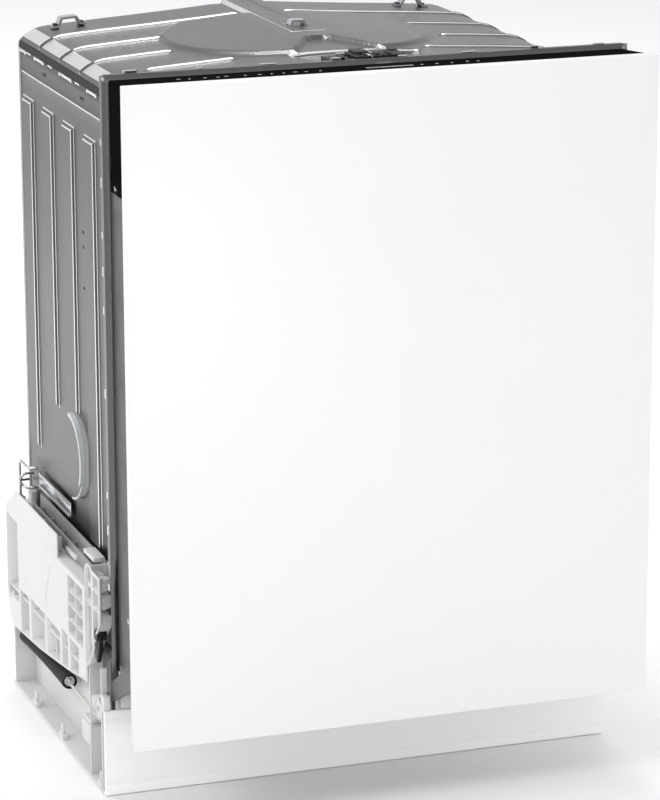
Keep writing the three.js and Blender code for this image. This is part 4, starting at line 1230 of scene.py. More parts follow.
# start, end, bottom (None: along the lower edge), top, depth
POCKETS = ((369, 433, None, 134, 15), (303, 361, None, 134, 15), (268, 296, None, 141, 14),
           (221, 260, None, 141, 14), (489, 541, 112, 210, 20), (442, 482, None, 131, 15))
LADDER = (200, 264, 146, 216)  # small cells: start, end, bottom, top
LADDER_ROW, LADDER_COLUMN = 17.6, 32.2
COVER = ((478, 212), (314, 214), (347, 141), (468, 138))  # corners as depth and height
BASE_START, COLUMN_END, BASE_END = 133.4, 189, 549.6  # depths of the base side
BASE_TOP = 221.9


def inside_cover(depth, z):
    """How far a place is inside the cover plate's outline, in millimetres; negative outside."""
    inside = math.inf
    for (a, za), (b, zb) in zip(COVER, COVER[1:] + COVER[:1]):
        length = math.hypot(b - a, zb - za)
        inside = min(inside, -((b - a) * (z - za) - (zb - za) * (depth - a)) / length)
    return inside


def base_side_relief(depth, z):
    """Depth of the pockets, the ladder of small cells and the cover's window."""
    sunk = 0.0
    for a, b, low, high, deep in POCKETS:
        low = LOWER_EDGE(depth) + 3 if low is None else low
        sunk = max(sunk, deep * plateau(depth, a, b, 1.6) * plateau(z, low, high, 1.8))
    a, b, low, high = LADDER
    frame_part = plateau(depth, a, b, 1.6) * plateau(z, low, high, 1.6)
    if frame_part:
        row = (z - low) % LADDER_ROW
        column = (depth - a) % LADDER_COLUMN
        bar = 1 - ease((min(row, LADDER_ROW - row) - 1.0) / 1.4) * ease(
            (min(column, LADDER_COLUMN - column) - 1.0) / 1.4)
        sunk = max(sunk, 13 * frame_part * (1 - bar))
    return max(sunk, 3.3 * ease((inside_cover(depth, z) + 0.6) / 1.2))


def make_base_side(name, s):
    """Moulded side: ribbed wall, front column, shelves, webs and the cord guide."""
    def both(a, b):
        return mirrored(s, a, b)

    def block(a, b, depths, heights, edge, steps=1):
        slab(bm, both(a, b), span(*depths), heights, edge, steps)
    outer = BASE_HALF
    inner = BASE[0][0]
    bm = bmesh.new()
    a, b = LADDER[:2]
    marks = around([v for p in POCKETS for v in p[:2]], (-0.2, 1, 2))
    marks += around([a + LADDER_COLUMN * k for k in range(3)], (-2.4, -1, 1, 2.4))
    us = lines(COLUMN_END, BASE_END, 6, marks + [a, b] + around([c[0] for c in COVER], (-2, 0, 2)))
    shares = lines(0, 1, 0.0125)

    def place(u, share):
        bottom = LOWER_EDGE(u)
        z = bottom + share * (BASE_TOP - bottom)
        corner = 6 * fall_off(BASE_END - u, 7) + 1.2 * fall_off(BASE_TOP - z, 2) + fall_off(z - bottom, 2)
        return (s * (outer - 0.02 - min(base_side_relief(u, z) + corner, 21)), behind(u), z)
    relief(bm, us, shares, place)
    piece(f"base_wall_{name}", bm, "cabinet", "white_plastic", wall=2.2, outward=(s, 0, 0), soft=40)

    bm = bmesh.new()
    z_top = node_box(f"base_side_{name}")[2][1]
    us = lines(BASE_START, 190, 4, around([138, 158, 164, 184], (-1, 0, 1)))
    shares = lines(0, 1, 0.045)

    def column(u, share):
        bottom = 196 - (u - BASE_START) * 1.2
        v = bottom + share * (z_top - 0.1 - bottom)
        pocket = max(plateau(u, p, q, 1.8) for p, q in ((137, 158), (163, 187)))
        pocket *= max(plateau(v, p, q, 1.8) for p, q in ((bottom + 3, 206), (212, 228), (233, 246)))
        corner = 1.6 * fall_off(u - BASE_START, 2) + fall_off(z_top - v, 2) + fall_off(v - bottom, 2)
        return (s * (outer - 0.02 - min(14 * pocket + corner, 15)), behind(u), v)
    relief(bm, us, shares, column)
    piece(f"base_column_wall_{name}", bm, "cabinet", "white_plastic", wall=2.2, outward=(s, 0, 0), soft=40)

    bm = bmesh.new()
    inset = inner + 3  # inner face of the side's open boxes
    profile = [(BASE_START, 0.2), (528, 0.2), (526, 73), (544, 98), (549.8, 194), (549.8, BASE_TOP),
               (COLUMN_END, BASE_TOP), (COLUMN_END, z_top), (BASE_START, z_top)]
    prism(bm, [(behind(d), z) for d, z in profile], "x", *both(inner, inset), 0.5)
    block(inset, outer - 0.3, (BASE_START, 528), (0.2, 3), 0.5)
    block(inset, outer - 1.5, (189.5, 548), (219.2, BASE_TOP), 0.5)
    block(inset, outer - 3, (190, 540), (119.2, 121.8), 0.4)
    prism(bm,
          [(behind(d), z)
           for d, z in ((541.5, 98), (544.4, 98), (549.7, 194), (549.7, 221.8), (546, 221.8),
                        (541.5, 190))], "x", *both(inset, outer - 6), 0.6)
    block(inset, outer - 1, (517.2, 520), (3, 118), 0.4)
    for x0, x1, z0, z1 in ((inset, 277, 3, 145), (291, outer - 1, 3, 145), (277, 291, 3, 86)):
        block(x0, x1, (BASE_START, 136), (z0, z1), 0.4)
    for x0, x1, z0, z1 in ((inset, 278.4, 3, z_top - 2), (294.6, outer - 2.5, 3, z_top - 2),
                           (278.4, 294.6, 96.4, z_top - 2), (278.4, 294.6, 3, 57.6)):
        block(x0, x1, (186.4, COLUMN_END), (z0, z1), 0.4)
    for depth in (232, 276, 330, 384, 438, 488):  # gussets under the shelf, clear of the spring sleeve
        top = LOWER_EDGE(depth) + 4
        prism(bm,
              [(s * inset, top + 8), (s * inset, 119.3), (s * (outer - 2.6), 119.3),
               (s * (outer - 2.6), top + 3)], "y", behind(depth - 1.1), behind(depth + 1.1), 0.3)
    for depth in (212, 258, 306, 352, 400, 446, 492):  # webs between shelf and top
        block(inset, outer - 12, (depth - 1, depth + 1), (121.8, 219.3), 0.3)
    for depth in (147, 311, 429):  # clips on the bottom flange
        block(outer - 7, outer - 0.4, (depth - 9, depth + 9), (2.8, 9), 0.8)
        block(outer - 5, outer - 2, (depth - 4, depth + 4), (8.8, 20), 0.7)
    # small box in the front corner
    block(outer - 24, outer - 3, (192, 226), (34, 58), 1.2, 2)
    block(outer - 22, outer - 4, (196, 222), (57.8, 64), 2, 2)
    block(outer - 20, outer - 8, (COLUMN_END, 193), (36, 56), 0.6)
    # upstand over the cover, with its sloping end
    block(outer - 2.4, outer - 0.2, (309, 489), (213, 249), 0.8, 2)
    prism(bm,
          [(behind(489), 213), (behind(489), 248.6), (behind(496), 249), (behind(548), 218),
           (behind(549), 213)], "x", *both(outer - 2.6, outer - 0.6), 0.7, 2)
    # blocks beside the hinge's slot
    block(262, 279, (121.5, 133), (100.4, 116), 0.8, 2)
    block(290.8, outer - 0.4, (121.5, 133), (100.4, 116), 0.8, 2)
    for depth in (330, 400, 470):
        block(outer - 12, outer - 2.2, (depth - 1, depth + 1), (221, 240), 0.3)
    piece(f"base_moulding_{name}", bm, "cabinet", "white_plastic", stands_for=[f"base_side_{name}"])

    bm = bmesh.new()  # cord guide over the pulley
    prism(bm,
          [(behind(143), 184), (behind(152), 186), (behind(155), 176), (behind(158), 164),
           (behind(165), 157), (behind(163), 148), (behind(155), 145), (behind(149), 156),
           (behind(145), 168)], "x", *both(outer - 8, outer - 3), 1.0, 2)
    lathe(bm,
          [(0, s * (outer - 12)), (7, s * (outer - 12)), (7, s * (outer - 1.6)), (6, s * (outer - 0.6)),
           (0, s * (outer - 0.6))], "x", (behind(151), 179), 28)
    piece(f"cord_guide_{name}", bm, "cabinet", "black_plastic")


def make_cover():
    """Plate over the left side's window, with a moulded frame."""
    bm = bmesh.new()
    x = -BASE_HALF

    def inset(share):
        cx = sum(c[0] for c in COVER) / 4
        cz = sum(c[1] for c in COVER) / 4
        return [(behind(c[0] + (cx - c[0]) * share), c[1] + (cz - c[1]) * share) for c in COVER]
    prism(bm, inset(0.015), "x", x + 1.6, x + 3.0, 0.3)
    prism(bm, inset(0.045), "x", x + 0.2, x + 1.8, 0.6, 2)
    prism(bm, inset(0.3), "x", x - 0.5, x + 0.4, 0.35)
    piece("base_cover_plate", bm, "cabinet", "white_plastic", stands_for=["base_cover_left"])
    bm = bmesh.new()
    for d, z in ((330, 205), (462, 203), (358, 149), (456, 147)):
        lathe(bm, [(0, x - 0.2), (2.2, x - 0.2), (3.4, x + 0.3), (3.4, x + 1.2), (0, x + 1.2)], "x",
              (behind(d), z), 18)
    piece("base_cover_screws", bm, "cabinet", "bright_steel")


def make_plinth():
    """Plinth board with two shallow grooves."""
    x, y, z = PLINTH
    bm = bmesh.new()
    us = lines(x[0], x[1], 20, [x[0] + 0.5, x[0] + 1.5, x[1] - 0.5, x[1] - 1.5])
    vs = lines(z[0], z[1], 8,
               [z[1] - 0.5, z[1] - 1.5, z[0] + 0.5, z[0] + 1.5]
               + around([z[0] + 12, z[1] - 10], (-1.6, -0.8, 0, 0.8, 1.6)))

    def place(u, v):
        round_off = 1.4 * fall_off(min(u - x[0], x[1] - u), 1.5) + 1.4 * fall_off(
            min(v - z[0], z[1] - v), 1.5)
        groove = 0.7 * max(ridge(v, g, 0.9) for g in (z[0] + 12, z[1] - 10))
        return (u, y[0] + 0.02 + min(round_off, 2) + groove, v)
    relief(bm, us, vs, place)
    # plinth in a lighter white, painted light against the panel's shade
    piece("plinth_board", bm, "cabinet", "white_plastic", "plinth_white", stands_for=["plinth"],
          wall=y[1] - y[0] - 2.2, outward=(0, -1, 0))


INLET = (145, 62)  # middle of the water inlet, across and up


def make_base_inside():
    """Finishes of the pumps, valve and softener, and the ribs, vents and inlet at the back."""
    for node in ("base_pan", "softener", "inlet_valve"):
        coat_node(node, "white_plastic")
    for node in ("circulation_pump", "drain_pump"):
        coat_node(node, "black_plastic")
    coat_node("sump", "grey_plastic")
    pan = node_box("base_pan")
    rear = pan[1][1]
    bm = bmesh.new()
    slab(bm, (pan[0][0] + 8, pan[0][1] - 8), (rear - 0.2, rear + 2.2), (8, 14), 0.6)
    slab(bm, (pan[0][0] + 8, pan[0][1] - 8), (rear - 0.2, rear + 2.2), (178, 184), 0.6)
    for k in range(9):
        cx = -240 + 60 * k
        if abs(cx - INLET[0]) > 22:
            slab(bm, (cx - 1.6, cx + 1.6), (rear - 0.2, rear + 2.2), (14, 178), 0.6)
    prism(bm, rounded((-232, -188), (88, 132), 8, 4), "y", rear - 0.2, rear + 3, 0.8)
    piece("base_rear_ribs", bm, "cabinet", "white_plastic")
    bm = bmesh.new()
    for k in range(6):
        slab(bm, (-226, -194), (rear + 2.6, rear + 3.4), (94 + 6 * k, 96.6 + 6 * k), 0.2)
    prism(bm, rounded((60, 92), (36, 62), 6, 4), "y", rear - 0.2, rear + 2, 0.5)
    piece("base_rear_vents", bm, "cabinet", "black_plastic", "dark_rubber")
    valve = node_box("inlet_valve")
    end = valve[1][1]
    bm = bmesh.new()
    profile = [(9.2, end - 13), (13.2, end - 13)]
    for k in range(5):
        profile += [(14.1, end - 11.6 + 2.2 * k), (13.2, end - 10.5 + 2.2 * k)]
    profile += [(13.0, end + 0.2), (9.2, end + 0.2)]
    lathe(bm, profile, "y", INLET, 40, closed=True)
    piece("inlet_thread", bm, "cabinet", "white_plastic")


def make_hinges():
    """Spring tubes, balance cords, pulleys and the hinge arms' rivets."""
    for name, s in SIDES:
        coat_node(f"hinge_arm_{name}", "dark_steel")
        coat_node(f"hinge_bracket_{name}", "dark_steel")
        sleeve = node_box(f"spring_sleeve_{name}")
        cx = middle(sleeve[0])
        y0, y1 = sleeve[1]
        low = node_box(f"pull_cord_{name}")
        bm = bmesh.new()
        length = y1 - y0
        profile = [(0, y0 + 9), (7.4, y0 + 9), (7.8, y0), (9.0, y0 + 0.4), (9.3, y0 + 5), (8.6, y0 + 16),
                   (7.4, y0 + length * 0.34), (6.7, y0 + length * 0.6), (6.9, y0 + length * 0.86),
                   (7.4, y0 + length * 0.9), (7.4, y1 - 5), (5.2, y1 - 1), (0, y1 - 1)]
        lathe(bm, profile, "y", (0, 0), 28)
        tilt = math.atan2(9, length)
        centre_z = (sleeve[2][0] + sleeve[2][1]) / 2
        for v in bm.verts:
            v.co.z += centre_z - (v.co.y - (y0 + y1) / 2) * math.tan(tilt)
            v.co.x += cx
        piece(f"spring_tube_{name}", bm, "cabinet", "dark_rubber", stands_for=[f"spring_sleeve_{name}"])
        bm = bmesh.new()
        end_z = centre_z + length / 2 * math.tan(tilt)
        lathe(bm, [(1.9, y0 + 0.4), (5.6, y0 + 0.4), (6.6, y0 + 1.2), (6.6, y0 + 6), (1.9, y0 + 6)], "y",
              (cx, end_z), 28, closed=True)
        lathe(bm, [(0, y0 - 5), (3.0, y0 - 5), (3.6, y0 - 4), (3.6, y0), (2.4, y0 + 2), (0, y0 + 2)], "y",
              (cx, end_z), 20)
        piece(f"spring_end_{name}", bm, "cabinet", "bright_steel")
        z_cord = middle(low[2])
        wires(f"balance_cord_{name}",
              [[(cx, low[1][0], z_cord), (cx, (low[1][0] + low[1][1]) / 2, z_cord),
                (cx, low[1][1] + 1, z_cord)]], 1.7, "cabinet", "white_plastic", "cream_cord", bend=0,
              sides=12, stands_for=[f"pull_cord_{name}"])
        wheel = node_box(f"cord_pulley_{name}")
        py, pz = middle(wheel[1]), middle(wheel[2])
        r = (wheel[1][1] - wheel[1][0]) / 2
        x0, x1 = wheel[0]
        bm = bmesh.new()
        lathe(bm,
              [(3.2, x0), (6, x0), (6.4, x0 + 0.6), (r - 2.4, x0 + 0.6), (r - 2, x0), (r, x0 + 0.2),
               (r, x0 + 1), (r - 2.2, (x0 + x1) / 2), (r, x1 - 1), (r, x1 - 0.2), (r - 2, x1),
               (r - 2.4, x1 - 0.6), (6.4, x1 - 0.6), (6, x1), (3.2, x1)], "x", (py, pz), 36, closed=True)
        for v, w in ring_points((py, pz), 7.6, 5):
            slab(bm, (x0 + 0.3, x1 - 0.3), *around_point(v, w, 0.8), 0.3)
        piece(f"pulley_wheel_{name}", bm, f"cord_pulley_{name}", "white_plastic",
              stands_for=[f"cord_pulley_{name}"])
        arm = node_box(f"hinge_arm_{name}")
        bm = bmesh.new()
        face = s * (max(abs(arm[0][0]), abs(arm[0][1])))
        for d, z in ((28, 200), (28, 250), (48, 225)):
            lathe(bm,
                  [(0, face + s * 1.0), (2.2, face + s * 1.0), (3.4, face + s * 0.3), (3.4, face - s * 0.2),
                   (0, face - s * 0.2)], "x", (behind(d + 4), z), 16)
        piece(f"hinge_rivets_{name}", bm, "door", "bright_steel")


def make_feet():
    """Adjustable feet: pad, hexagon and threaded rod."""
    for node in ("foot_front_left", "foot_front_right", "foot_rear"):
        x, y, z = node_box(node)
        cx, cy = middle(x), middle(y)
        bm = bmesh.new()
        lathe(bm,
              [(0, z[0]), (16.4, z[0]), (17.8, z[0] + 0.8), (17.8, z[0] + 5), (16, z[0] + 6.4),
               (9, z[0] + 8), (9, z[0] + 9), (0, z[0] + 9)], "z", (cx, cy), 48)
        prism(bm,
              [(cx + 9.4 * math.cos(math.radians(60 * k)), cy + 9.4 * math.sin(math.radians(60 * k)))
               for k in range(6)], "z", z[0] + 8.6, z[0] + 15, 0.6)
        profile, pitch = [(0, z[0] + 14.8)], 2.1
        for k in range(22):
            profile += [(5.0, z[0] + 15.2 + pitch * k), (4.2, z[0] + 16.2 + pitch * k)]
        profile += [(4.2, z[1] - 0.2), (0, z[1] - 0.2)]
        lathe(bm, profile, "z", (cx, cy), 20)
        piece(node + "_screw_foot", bm, node, "black_plastic", stands_for=[node])


# ---------------- water ring and brackets
def make_water_side():
    """Water ring beside the tub, and the rails, wires and channels over the base."""
    x, y, z = node_box("air_break")
    cy, cz = middle(y), middle(z)
    outer = (y[1] - y[0]) / 2
    bm = bmesh.new()
    x1 = x[1]
    reach = outer - 2.4
    band = [(-2.2, -6.4), (-1.2, -7), (1.4, -7), (2.2, -6), (2.2, 6), (1.4, 7), (-1.2, 7), (-2.2, 6.4),
            (-0.4, 5.6), (-0.4, -5.6)]
    for start, stop, wide, thick in ((92, 205, 0.46, 1.0), (205, 268, 0.24, 0.45)):
        path = [(x1 - 7 * wide, cy + reach * math.cos(math.radians(a)),
                 cz + reach * math.sin(math.radians(a)))
                for a in [start + (stop - start) * k / 30 for k in range(31)]]
        sweep(bm, path, [(u * thick, v * wide) for u, v in band], normal=(1, 0, 0))
    for k in range(5):
        a = math.radians(112 + 24 * k)
        slab(bm, (x1 - 6.9, x1 - 0.2), (cy + reach * math.cos(a) - 1.0, cy + reach * math.cos(a) + 1.0),
             (cz + reach * math.sin(a) - 1.8, cz + reach * math.sin(a) + 1.8), 0.4)
    piece("water_ring", bm, "cabinet", "clear_plastic", stands_for=["air_break"])
    side = -TUB_HALF
    bm = bmesh.new()
    slab(bm, (side - 4.6, side - 3.4), span(349, 489), (254, 272), 0.5, 2)
    slab(bm, (side - 6.4, side - 4.4), span(352, 486), (268, 272), 0.5)
    slab(bm, (side - 6.4, side - 4.4), span(352, 486), (254, 257), 0.5)
    piece("side_rail_strip", bm, "cabinet", "bright_steel")
    wires("side_bracket_wires",
          [[(side - 3, behind(500), 273), (side - 14, behind(500), 273), (side - 14, behind(545), 273),
            (side - 14, behind(545), 226), (side - 8, behind(545), 224)],
           [(side - 3, behind(520), 262), (side - 20, behind(520), 262), (side - 20, behind(520), 224)],
           [(side - 3, behind(505), 248), (side - 17, behind(505), 248), (side - 17, behind(542), 248),
            (side - 3, behind(542), 248)]], 1.8, "cabinet", "bright_steel", bend=8, sides=10)
    for name, s in SIDES:
        a, b = mirrored(s, TUB_HALF + 5, TUB_HALF + 17)
        bm = bmesh.new()
        slab(bm, (a, b), span(195, 476), (224, 227), 0.6)
        slab(bm, mirrored(s, TUB_HALF + 5, TUB_HALF + 7.4), span(195, 476), (226, 249), 0.8, 2)
        slab(bm, mirrored(s, TUB_HALF + 14.6, TUB_HALF + 17), span(195, 476), (226, 239), 0.8, 2)
        for k in range(6):
            slab(bm, (a + 1, b - 1), span(214 + 48 * k, 216 + 48 * k), (226, 238), 0.4)
        piece(f"side_channel_{name}", bm, "cabinet", "grey_plastic")
        bm = bmesh.new()
        for d0, d1, h in ((276, 319, 226), (199, 241, 247)):  # start, end, height
            slab(bm, mirrored(s, TUB_HALF + 6, TUB_HALF + 20), span(d0, d1), (h, h + 5), 1.2, 2)
        slab(bm, mirrored(s, TUB_HALF + 2, TUB_HALF + 9), span(512, 528), (222, 240), 1.6, 2)
        piece(f"side_tabs_{name}", bm, "cabinet", "white_plastic")


# ---------------- inside the tub
def make_water_inside():
    """Riser pipe, spray arms with their jets, filter and salt cap."""
    riser = node_box("spray_riser")
    bm = bmesh.new()
    y0, y1 = riser[1][1] - 14, riser[1][1]
    slab(bm, (-11.4, 11.4), (y0 + 0.2, y1 - 0.2), (riser[2][0] + 0.3, riser[2][1] - 0.4), 5, 4)
    slab(bm, (-11.4, 11.4), (riser[1][0] + 0.5, y0 + 8), (riser[2][1] - 9.6, riser[2][1] - 0.4), 3.4, 3)
    for z in (330, 420, 560, 650, 730):
        slab(bm, (-15, 15), (y0 + 3, y1), (z - 4, z + 4), 1.4, 2)
    slab(bm, (-13, 13), (y0 - 6, y0 + 3), (460, 480), 3, 3)
    piece("riser_pipe", bm, "cabinet", "grey_plastic", stands_for=["spray_riser"])
    for node in ("lower_spray_arm", "upper_spray_arm", "ceiling_sprayer"):
        x, y, z = node_box(node)
        cx, cy = middle(x), middle(y)
        radius = (x[1] - x[0]) / 2
        tip = 15.4
        outline = []
        for turn, sign in ((0, 1), (math.pi, -1)):
            outline += [(cx + (radius - tip) * math.cos(turn) + tip * math.cos(a), cy + tip * math.sin(a))
                        for a in [turn - math.pi / 2 + k * math.pi / 8 for k in range(9)]]
            if radius > 100:
                outline += [(cx + sign * 46, cy + sign * 19), (cx + sign * 22, cy + sign * 26),
                            (cx - sign * 6, cy + sign * 27)]
            else:
                outline += [(cx + sign * 12, cy + sign * 21), (cx - sign * 2, cy + sign * 23)]
        bm = bmesh.new()
        prism(bm, outline, "z", z[0] + 1.5, z[1] - 2, 2.6, 3)
        prism(bm, [(cx + (u - cx) * 0.86, cy + (v - cy) * 0.5) for u, v in outline], "z", z[1] - 3.5,
              z[1] - 0.3, 1.2, 2)
        lathe(bm,
              [(0, z[0]), (13, z[0]), (15, z[0] + 2), (17, z[1] - 2), (14, z[1]), (6, z[1]), (4, z[1] - 1),
               (0, z[1] - 1)], "z", (cx, cy), 40)
        piece(node + "_shell", bm, node, "grey_plastic", stands_for=[node])
        jet = bmesh.new()
        lathe(jet, [(0.9, -0.8), (3.2, -0.8), (3.0, 0.4), (2.2, 0.9), (1.2, 0.6), (0.9, -0.2)], "z", (0, 0),
              14, closed=True)
        count = 8 if radius > 100 else 2
        spots = []
        for k in range(count):
            r = radius - 20 - k * (radius - 70) / count if count > 2 else radius - 16 - 22 * k
            for sign in (-1, 1):
                spots.append((cx + sign * r, cy + sign * (5 if k % 2 else -4), z[1] - 0.9))
        repeats(node + "_jets", jet, spots, node, "grey_plastic", "dark_rubber")
    x, y, z = node_box("filter_cup")
    cx, cy = middle(x), middle(y)
    deck = z[1] - 13
    bm = bmesh.new()
    profile = [(0, z[0]), (22, z[0]), (26, z[0] + 4)]
    profile += [(r, z[0] + 6 + 4.2 * k + o) for k in range(12)
                for r, o in ((28.2, 0), (27, 1.4), (27, 2.8))]
    profile += [(29.6, deck - 4), (30, deck - 1), (29, deck), (20, deck - 1.5), (0, deck - 1.5)]
    lathe(bm, profile, "z", (cx, cy), 48)
    prism(bm, rounded((cx - 21.5, cx + 21.5), (cy - 2.8, cy + 2.8), 2.6, 3), "z", deck - 2, z[1] - 0.2, 0.9,
          2)
    for u, v in ring_points((cx, cy), 25, 16):
        slab(bm, *around_point(u, v, 1), (deck - 2, deck + 0.8), 0.3)
    piece("filter_insert", bm, "filter_cup", "grey_plastic", stands_for=["filter_cup"])
    x, y, z = node_box("salt_cap")
    cx, cy = middle(x), middle(y)
    deck = z[1] - 7
    bm = bmesh.new()
    profile = [(0, z[0]), (28.6, z[0]), (29.8, z[0] + 1), (29.8, deck - 1.4), (28.6, deck), (0, deck)]
    lathe(bm, profile, "z", (cx, cy), 60)
    prism(bm, rounded((cx - 23, cx + 23), (cy - 2.8, cy + 2.8), 2.6, 3), "z", deck - 1, z[1] - 0.2, 0.9, 2)
    piece("salt_cap_screw", bm, "salt_cap", "white_plastic", stands_for=["salt_cap"])


def spaced(start, length, count):
    """Places that part a length into count equal steps."""
    return [start + length * k / count for k in range(count + 1)]


def rim_path(half, y0, y1, height):
    """Closed path round a basket."""
    return [(-half, y0, height), (half, y0, height), (half, y1, height), (-half, y1, height),
            (-half, y0, height)]


def add_grip(bm, low, high, y0, y1):
    """Handle plate in the middle of a basket's front."""
    prism(bm, rounded((-92, 92), (low, high), 6, 4), "y", y0, y1, 1.4, 2)


def make_lower_rack():
    """Lower basket with tines, wheels and carriers."""
    _, y, z = node_box("lower_rack")
    half, (y0, y1) = 234.5, (y[0] + 3, y[1] - 3)
    top, low = z[1] - 3, z[1] - 107
    rim = rim_path(half, y0, y1, top)
    wires("lower_rack_rim", [rim], sizes().rim_wire / MM, "lower_rack", "rack_wire", bend=22, sides=10,
          stands_for=["lower_rack"])
    paths = [[(u, v, h) for u, v, _ in rim] for h in (top - 34, top - 68)]
    ys = spaced(y0 + 14, y1 - y0 - 28, 12)
    xs = spaced(-half + 16, 2 * half - 32, 14)
    paths += [[(-half, v, top), (-half, v, low), (half, v, low), (half, v, top)] for v in ys]
    paths += [[(u, y0, top), (u, y0, low + 3), (u, y1, low + 3), (u, y1, top)] for u in xs]
    wires("lower_rack_basket", paths, sizes().basket_wire / MM, "lower_rack", "rack_wire", bend=8)
    tines = [[(u, v, low + 2), (u, v, low + 62), (u, v + 5, low + 70)] for v in ys[1:-1:2] for u in
             [-half + 30 + 25.5 * k for k in range(17)]]
    wires("lower_rack_tines", tines, 1.6, "lower_rack", "rack_wire", bend=3)
    wheel = bmesh.new()
    lathe(wheel,
          [(0, -4.6), (4.5, -4.6), (5, -3), (9, -2.2), (14.4, -2.2), (15, -4), (16.4, -4), (16.9, -3.2),
           (16.9, 3.2), (16.4, 4), (15, 4), (14.4, 2.2), (9, 2.2), (5, 3), (4.5, 4.6), (0, 4.6)], "x",
          (0, 0), 28)
    wheel_z = min(z[0] + 17, 229.3)
    stations = (y[0] + 90, y[0] + 200, y[1] - 150, y[1] - 45)
    spots = [(s * 242.2, v, wheel_z) for _, s in SIDES for v in stations]
    repeats("lower_rack_wheels", wheel, spots, "lower_rack", "grey_plastic")
    bm = bmesh.new()
    for _, s in SIDES:
        for v in stations:
            prism(bm, [(v - 12, low + 4), (v + 12, low + 4), (v + 7, wheel_z - 7), (v - 7, wheel_z - 7)],
                  "x", *mirrored(s, 232.5, 236.6), 1, 2)
    add_grip(bm, top - 12, top + 2, y[0] + 0.4, y[0] + 9)
    piece("lower_rack_carriers", bm, "lower_rack", "grey_plastic")


def make_upper_rack():
    """Upper basket with tines and cup shelves, and its rails."""
    x, y, z = node_box("upper_rack")
    half, (y0, y1) = 236.5, (y[0] + 3, y[1] - 3)
    top, low = z[1] - 3, z[1] - 114
    rim = rim_path(half, y0, y1, top)
    wires("upper_rack_rim", [rim], 2.4, "upper_rack", "rack_wire", bend=22, sides=10,
          stands_for=["upper_rack"])
    paths = [[(u, v, h) for u, v, _ in rim] for h in (top - 38, top - 76)]
    ys = spaced(y0 + 14, y1 - y0 - 28, 13)
    xs = spaced(-half + 16, 2 * half - 32, 15)
    arch = 16
    paths += [[(-half, v, top), (-half, v, low + 6), (-150, v, low), (-40, v, low + arch),
               (40, v, low + arch), (150, v, low), (half, v, low + 6), (half, v, top)] for v in ys]
    floor = table([(-half, low + 6), (-150, low), (-40, low + arch), (40, low + arch), (150, low),
                   (half, low + 6)])
    paths += [[(u, y0, top), (u, y0, floor(u) + 3), (u, y1, floor(u) + 3), (u, y1, top)] for u in xs]
    wires("upper_rack_basket", paths, 1.4, "upper_rack", "rack_wire", bend=8)
    tines = [[(u, v, floor(u) + 3), (u + (4 if u > 0 else -4), v, floor(u) + 52)] for u in (-96, 96)
             for v in [y0 + 26 + 24 * k for k in range(16)]]
    tines += [[(u, v, floor(u) + 3), (u, v, floor(u) + 44)] for u in (-28, 28)
              for v in [y0 + 26 + 24 * k for k in range(16)]]
    wires("upper_rack_tines", tines, 1.5, "upper_rack", "rack_wire", bend=0)
    shelves = []
    for _, s in SIDES:
        for v0 in (y0 + 20, y0 + 220):
            shelves.append([(s * (half - 6), v0, top - 44), (s * (half - 92), v0, top - 50),
                            (s * (half - 92), v0 + 178, top - 50), (s * (half - 6), v0 + 178, top - 44),
                            (s * (half - 6), v0, top - 44)])
            shelves += [[(s * (half - 6), v0 + 22 * k, top - 44), (s * (half - 92), v0 + 22 * k, top - 50)]
                        for k in range(1, 8)]
    wires("upper_rack_cup_shelves", shelves, 1.3, "upper_rack", "rack_wire", bend=6)
    bm = bmesh.new()
    rail = node_box("rack_rail_right")
    mid = middle(rail[2])
    inner = rail[0][0] - 0.5
    for _, s in SIDES:
        slab(bm, mirrored(s, half + 2.8, inner), (y[0] + 21, y1), (mid - 7.6, mid + 7.6), 1.6, 2)
        slab(bm, mirrored(s, half - 1.5, half + 3), (y[0] + 120, y[0] + 190), (mid - 20, mid + 34), 2, 2)
    add_grip(bm, top - 12, top + 2, y[0] + 0.4, y[0] + 9)
    cx, cy = (middle(pair) for pair in node_box("upper_spray_arm")[:2])
    lathe(bm,
          [(0, z[0] + 0.6), (11.6, z[0] + 0.6), (12, z[0] + 8), (20, z[0] + 12), (20, z[0] + 20),
           (0, z[0] + 20)], "z", (cx, cy), 32)
    slab(bm, (cx - 9, cx + 9), (cy, y1), (low + arch + 2 - 11, low + arch + 1 + 2), 3, 3)
    piece("upper_rack_fittings", bm, "upper_rack", "grey_plastic")
    for node in ("rack_rail_left", "rack_rail_right"):
        coat_node(node, "bright_steel")
        x, y, z = node_box(node)
        bm = bmesh.new()
        slab(bm, (x[0] + 0.8, x[1] - 0.8), (y[0] - 3.4, y[0] - 0.05), (z[0] + 0.6, z[1] - 0.6), 1.2, 2)
        piece(node + "_cap", bm, "cabinet", "grey_plastic")


